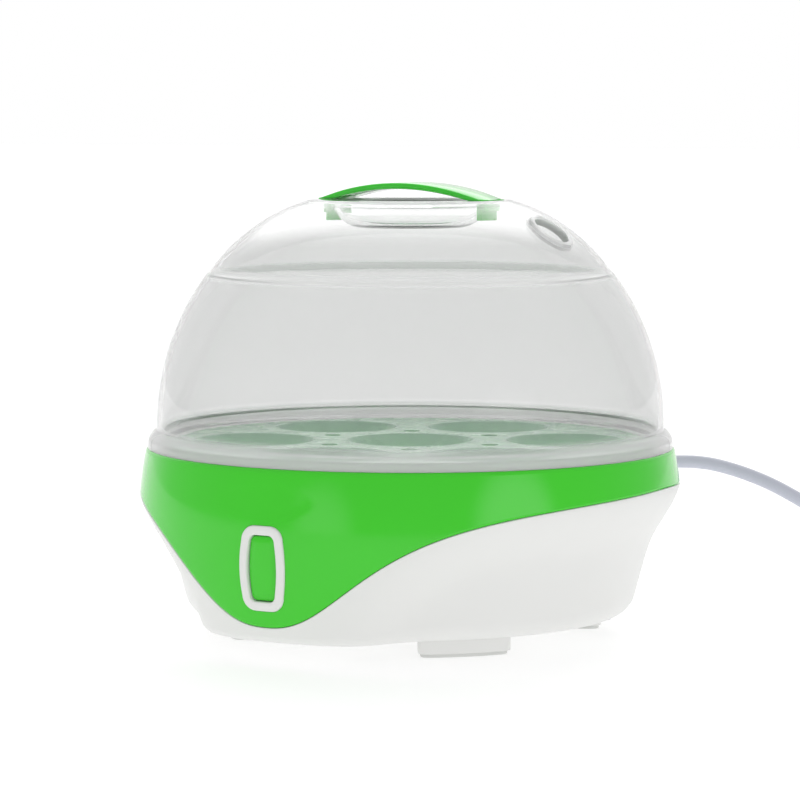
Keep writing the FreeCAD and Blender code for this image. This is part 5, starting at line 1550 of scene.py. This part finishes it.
@dataclass
class Lid(SubAssembly):
    """Clear dome with its flared foot, shoulder step, finger recess and steam hole, and its green handle."""

    wall: float = 1.8
    slot_x: float = 30.4
    vent_place: tuple[float, float, float] = VENT_PLACE
    vent_tilt: float = 37.0
    vent_r: float = 6.8
    collar_r: float = 8.6
    plateau_z: float = 150.6
    chord: float = 66.0
    rise: float = 5.9
    strap_wall: float = 2.2
    strap_width: float = 18.0
    foot: float = 6.0
    # thickness, width and drop of each leg, and how much larger its slot is
    leg: tuple[float, float, float] = (2.0, 11.0, 7.0)
    slot_more: float = 0.4
    # share of the wall that a point of the inner line has to stay away from the outer one
    apart: float = 0.97

    def outside(self) -> list[Pair]:
        """Outer profile of the dome, from its foot to its middle.

        Returns:
            Radius and height of each point.
        """
        points = [(91.6, 64.7), (91.6, 66.6)]
        points += arc((91.6, 66.9), (90.7, 69.2), (88.55, 71.0), 8)
        points += arc((88.5, 71.4), (85.6, 95.0), (71.4, 124.3), 36)
        points += [(71.1, 124.8), (70.8, 125.15), (70.4, 125.4), (70.0, 125.75)]
        points += arc((69.7, 126.0), (56.0, 140.1), (36.5, 150.1), 26)
        points += [(35.9, 150.35), (35.2, 150.52), (34.4, 150.6)]
        recess = [(26.6, 150.6), (26.1, 150.5), (25.75, 150.2)]
        recess += arc((25.5, 149.8), (22.6, 145.0), (17.0, 142.75), 10)
        recess += [(16.0, 142.62), (14.0, 142.6), (6.0, 142.6), (AXIS_SPECK, 142.6)]
        return points + recess

    def profile(self) -> list[Pair]:
        """Closed profile of the dome: the outside, then the same line a wall's thickness inside.

        Returns:
            Radius and height of each point.
        """
        outer = self.outside()
        inner = []
        for index, (radius, height) in enumerate(outer[3:-1], start=3):
            before, after = Vector(outer[index - 1]), Vector(outer[index + 1])
            along = (after - before).normalized()
            spot = (max(AXIS_SPECK, radius - along.y * self.wall), height + along.x * self.wall)
            if min(math.dist(spot, near) for near in outer) > self.wall * self.apart:
                inner.append(spot)
        foot = [(86.9, 66.8), (87.0, 64.7)]
        axis = [(AXIS_SPECK, outer[-1][1] - self.wall)]
        return outer + axis + list(reversed(inner)) + foot + [outer[0]]

    def vent_turn(self) -> Matrix:
        """Turn from upright to the steam hole's axis."""
        return Matrix.Rotation(math.radians(self.vent_tilt), 4, "Y")

    def build_dome(self) -> bpy.types.Object:
        """Builds the dome with its vent collar, steam hole and handle slots.

        Returns:
            The dome.
        """
        dome = lofted("clear_dome_lid", lathe_rings(self.profile(), 224))
        sunk, proud = -1.0, 0.8
        corners = [(0, sunk, 0), (self.collar_r, sunk, 0), (self.collar_r, proud, 0.5), (0, proud, 0)]
        collar = turned("collar", corners, 64)
        carved(dome, moved(collar, self.vent_place, self.vent_turn()), "UNION")
        bore = [(AXIS_SPECK, -8), (self.vent_r, -8), (self.vent_r, 8), (AXIS_SPECK, 8)]
        hole = lofted("hole", lathe_rings(bore, 56))
        carved(dome, moved(hole, self.vent_place, self.vent_turn()))
        for side in (-1, 1):
            clear_selection()
            bpy.ops.mesh.primitive_cube_add(size=MM)
            slot = bpy.context.object
            size = Matrix.Diagonal((self.leg[0] + self.slot_more, self.leg[1] + self.slot_more, 8.0, 1.0))
            carved(dome, moved(slot, (side * self.slot_x, 0, self.plateau_z), size))
        return smooth(dome, 32.0)

    def strap_section(self, share: float) -> tuple[Pair, Pair, float]:
        """Lower and upper point of the handle at a share of its length, and its half width there.

        Args:
            share: 0 at one end, 1 at the other.

        Returns:
            Lower point, upper point and half width.
        """
        half, inner = self.chord / 2, self.chord / 2 - self.foot
        under_rise = self.rise - self.strap_wall
        x = half * (2 * share - 1)
        top = self.rise * self.bow(x / half, self.rise / half)
        under = under_rise * self.bow(abs(x) / inner, under_rise / inner) if abs(x) < inner else 0.0
        width = self.strap_width / 2 * (1 - 0.16 * abs(2 * share - 1) ** 3)
        return (x, self.plateau_z + under), (x, self.plateau_z + max(top, 0.25)), width

    @staticmethod
    def bow(share: float, slope: float) -> float:
        """Height of a flat arc at a share of its half chord, as a share of its rise.

        Args:
            share: Place along the half chord.
            slope: Rise over half chord.

        Returns:
            The share of the rise.
        """
        radius = (1 + slope * slope) / (2 * slope)
        return (math.sqrt(max(0.0, radius ** 2 - share ** 2)) - radius + slope) / slope

    def build_handle(self) -> bpy.types.Object:
        """Builds the arched handle with its hooked legs.

        Returns:
            The handle.
        """
        rings: list[Ring] = []
        steps = 48
        for step in range(steps + 1):
            under, over, half = self.strap_section(step / steps)
            soft = min(0.6, (over[1] - under[1]) * 0.4)
            (x, low), high, bit = under, over[1], soft * 0.3
            spots = [(-half + soft, low), (half - soft, low), (half - bit, low + bit), (half, low + soft),
                     (half, high - soft), (half - bit, high - bit), (half - soft, high), (0, high),
                     (-half + soft, high), (-half + bit, high - bit), (-half, high - soft),
                     (-half, low + soft), (-half + bit, low + bit)]
            rings.append([Vector((x, y, z)) for y, z in spots])
        for end, index in ((rings[0], 0), (rings[-1], len(rings))):
            middle = sum(end, Vector()) / len(end)
            rings.insert(index, [middle] * len(end))
        strap = lofted("green_lid_handle", rings)
        wall, width, drop = self.leg
        upright = (wall, width, drop + 0.3), (self.slot_x, 0, self.plateau_z - drop / 2 + 0.1)
        hook = (2.2, width, 2.0), (self.slot_x + 1.1, 0, self.plateau_z - self.wall - 1.2)
        legs = []
        for side in (-1, 1):
            for size, place in (upright, hook):
                clear_selection()
                bpy.ops.mesh.primitive_cube_add(size=MM)
                leg = moved(bpy.context.object, (0, 0, 0), Matrix.Diagonal((*size, 1.0)))
                applied(leg, "BEVEL", width=0.3 * MM, segments=2)
                legs.append(moved(leg, (side * place[0], *place[1:])))
        return smooth(joined(strap, legs), 40.0)

    def build(self) -> None:
        """Builds the dome and its handle."""
        self.finish(self.build_dome(), Slot.CLEAR, Body.LID, ("lid_dome",))
        self.finish(self.build_handle(), Slot.GREEN, Body.LID, ("lid_handle",), HANDLE_GREEN)


# ---------------------------------------------------------------- fittings


@dataclass
class Fittings(SubAssembly):
    """Ribbed strain relief and cord tie, and the finishes of every other piece of the frame."""

    flange: Pair = (6.2, 2.0)
    root_r: float = 4.6
    tip_r: float = 3.2
    length: float = 24.0
    ribs: int = 7
    face_y: float = 95.8
    relief_bore: float = 2.55
    relief_start: float = -15.0
    groove: float = 0.75
    tie_place: tuple[float, float, float] = (102.6, 233.9, 0.0)
    tie_size: tuple[float, float, float] = (13.0, 6.0, 17.6)
    carried: dict[str, Slot] = field(default_factory=lambda: {
        "inner_deck": Slot.DECK, "deck_screws": Slot.ZINC, "plate_seal": Slot.SILICONE,
        "heat_spreader": Slot.ALUMINIUM, "heater_element": Slot.ALUMINIUM, "heater_pins": Slot.ZINC,
        "element_strap": Slot.ZINC, "clamp_stud": Slot.ZINC, "clamp_nut": Slot.ZINC,
        "thermostat": Slot.BLACK, "thermostat_strip": Slot.ZINC, "thermostat_screws": Slot.ZINC,
        "thermal_fuse": Slot.BRASS, "fuse_clip": Slot.ZINC, "terminal_block": Slot.WHITE,
        "terminal_screws": Slot.BRASS, "clamp_base": Slot.BLACK, "clamp_bar": Slot.BLACK,
        "clamp_screws": Slot.ZINC, "switch_plunger": Slot.WHITE, "switch_body": Slot.BLACK,
        "switch_bracket": Slot.WHITE, "button_spring": Slot.ZINC, "inner_cord": Slot.CORD,
        "supply_wire_live": Slot.RED_WIRE, "supply_wire_neutral": Slot.BLUE_WIRE,
        "wire_block_to_switch": Slot.RED_WIRE, "wire_switch_to_thermostat": Slot.RED_WIRE,
        "wire_thermostat_to_fuse": Slot.WHITE_WIRE, "wire_fuse_to_element": Slot.WHITE_WIRE,
        "wire_block_to_element": Slot.BLUE_WIRE,
    })

    def build_relief(self) -> bpy.types.Object:
        """Builds the strain relief: a flange and a tapered sleeve with grooves.

        Returns:
            The strain relief.
        """
        flange_r, flange = self.flange
        bore, start_y, neck = self.relief_bore, self.relief_start, 4.2
        corners = [(bore, start_y, 0), (neck, start_y, 0.3), (neck, 0.0, 0), (flange_r, 0.0, 0.4),
                   (flange_r, flange, 0.5)]
        pitch = (self.length - 3.0) / self.ribs
        for rib in range(self.ribs):
            start = flange + 1.2 + rib * pitch
            radius = self.root_r + (self.tip_r - self.root_r) * rib / self.ribs
            groove = radius - self.groove
            corners += [(groove + 0.2, start, 0.15), (radius, start + 0.3, 0.3),
                        (radius - 0.12, start + pitch * 0.62, 0.3), (groove, start + pitch * 0.7, 0.15)]
        end = flange + self.length
        corners += [(self.tip_r, end - 1.6, 0.3), (self.tip_r, end, 0.5), (bore, end, 0), (bore, start_y, 0)]
        relief = turned("ribbed_strain_relief", corners, 56)
        return smooth(moved(relief, (0, self.face_y, ENTRY_Z), Matrix.Rotation(LAID, 4, "X")))

    def build_tie(self) -> bpy.types.Object:
        """Builds the flat tie round the coil.

        Returns:
            The tie.
        """
        width, depth, height = self.tie_size
        wall = 0.8
        outer = Barrel(width, height, 5.0, 0.3, height / 2)
        inner = outer.inset(wall)
        rings = []
        for shape, y in ((inner, -depth / 2), (outer, -depth / 2 + 0.2), (outer, depth / 2 - 0.2),
                         (inner, depth / 2), (inner, -depth / 2)):
            rings.append([Vector((x, y, z)) for x, z in shape.points()])
        return smooth(moved(lofted("flat_cord_tie", rings), self.tie_place))

    def build(self) -> None:
        """Builds the strain relief and the tie, and dresses the carried pieces."""
        self.finish(self.build_relief(), Slot.BLACK, Body.BASE, ("strain_relief",), FINISHES[Slot.CORD])
        self.finish(self.build_tie(), Slot.TIE, Body.BASE, ("cord_tie",))
        for node, slot in self.carried.items():
            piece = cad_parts[node]
            piece.data.materials.clear()
            piece.data.materials.append(PAINT.material(FINISHES[slot]))
            LOG.info("%s dressed", node)


# ---------------------------------------------------------------- the whole cooker


def main() -> None:
    """Builds the studio and the cooker, piece by piece."""
    logging.basicConfig(level=logging.INFO, format="%(name)s: %(message)s")
    studio = Studio()
    studio.place_camera()
    fittings = Fittings()
    fittings.build()
    PowerCord().build()
    Housing().build()
    Band().build()
    Rack().build()
    Lid().build()
    studio.build()


if __name__ == "__main__":
    main()
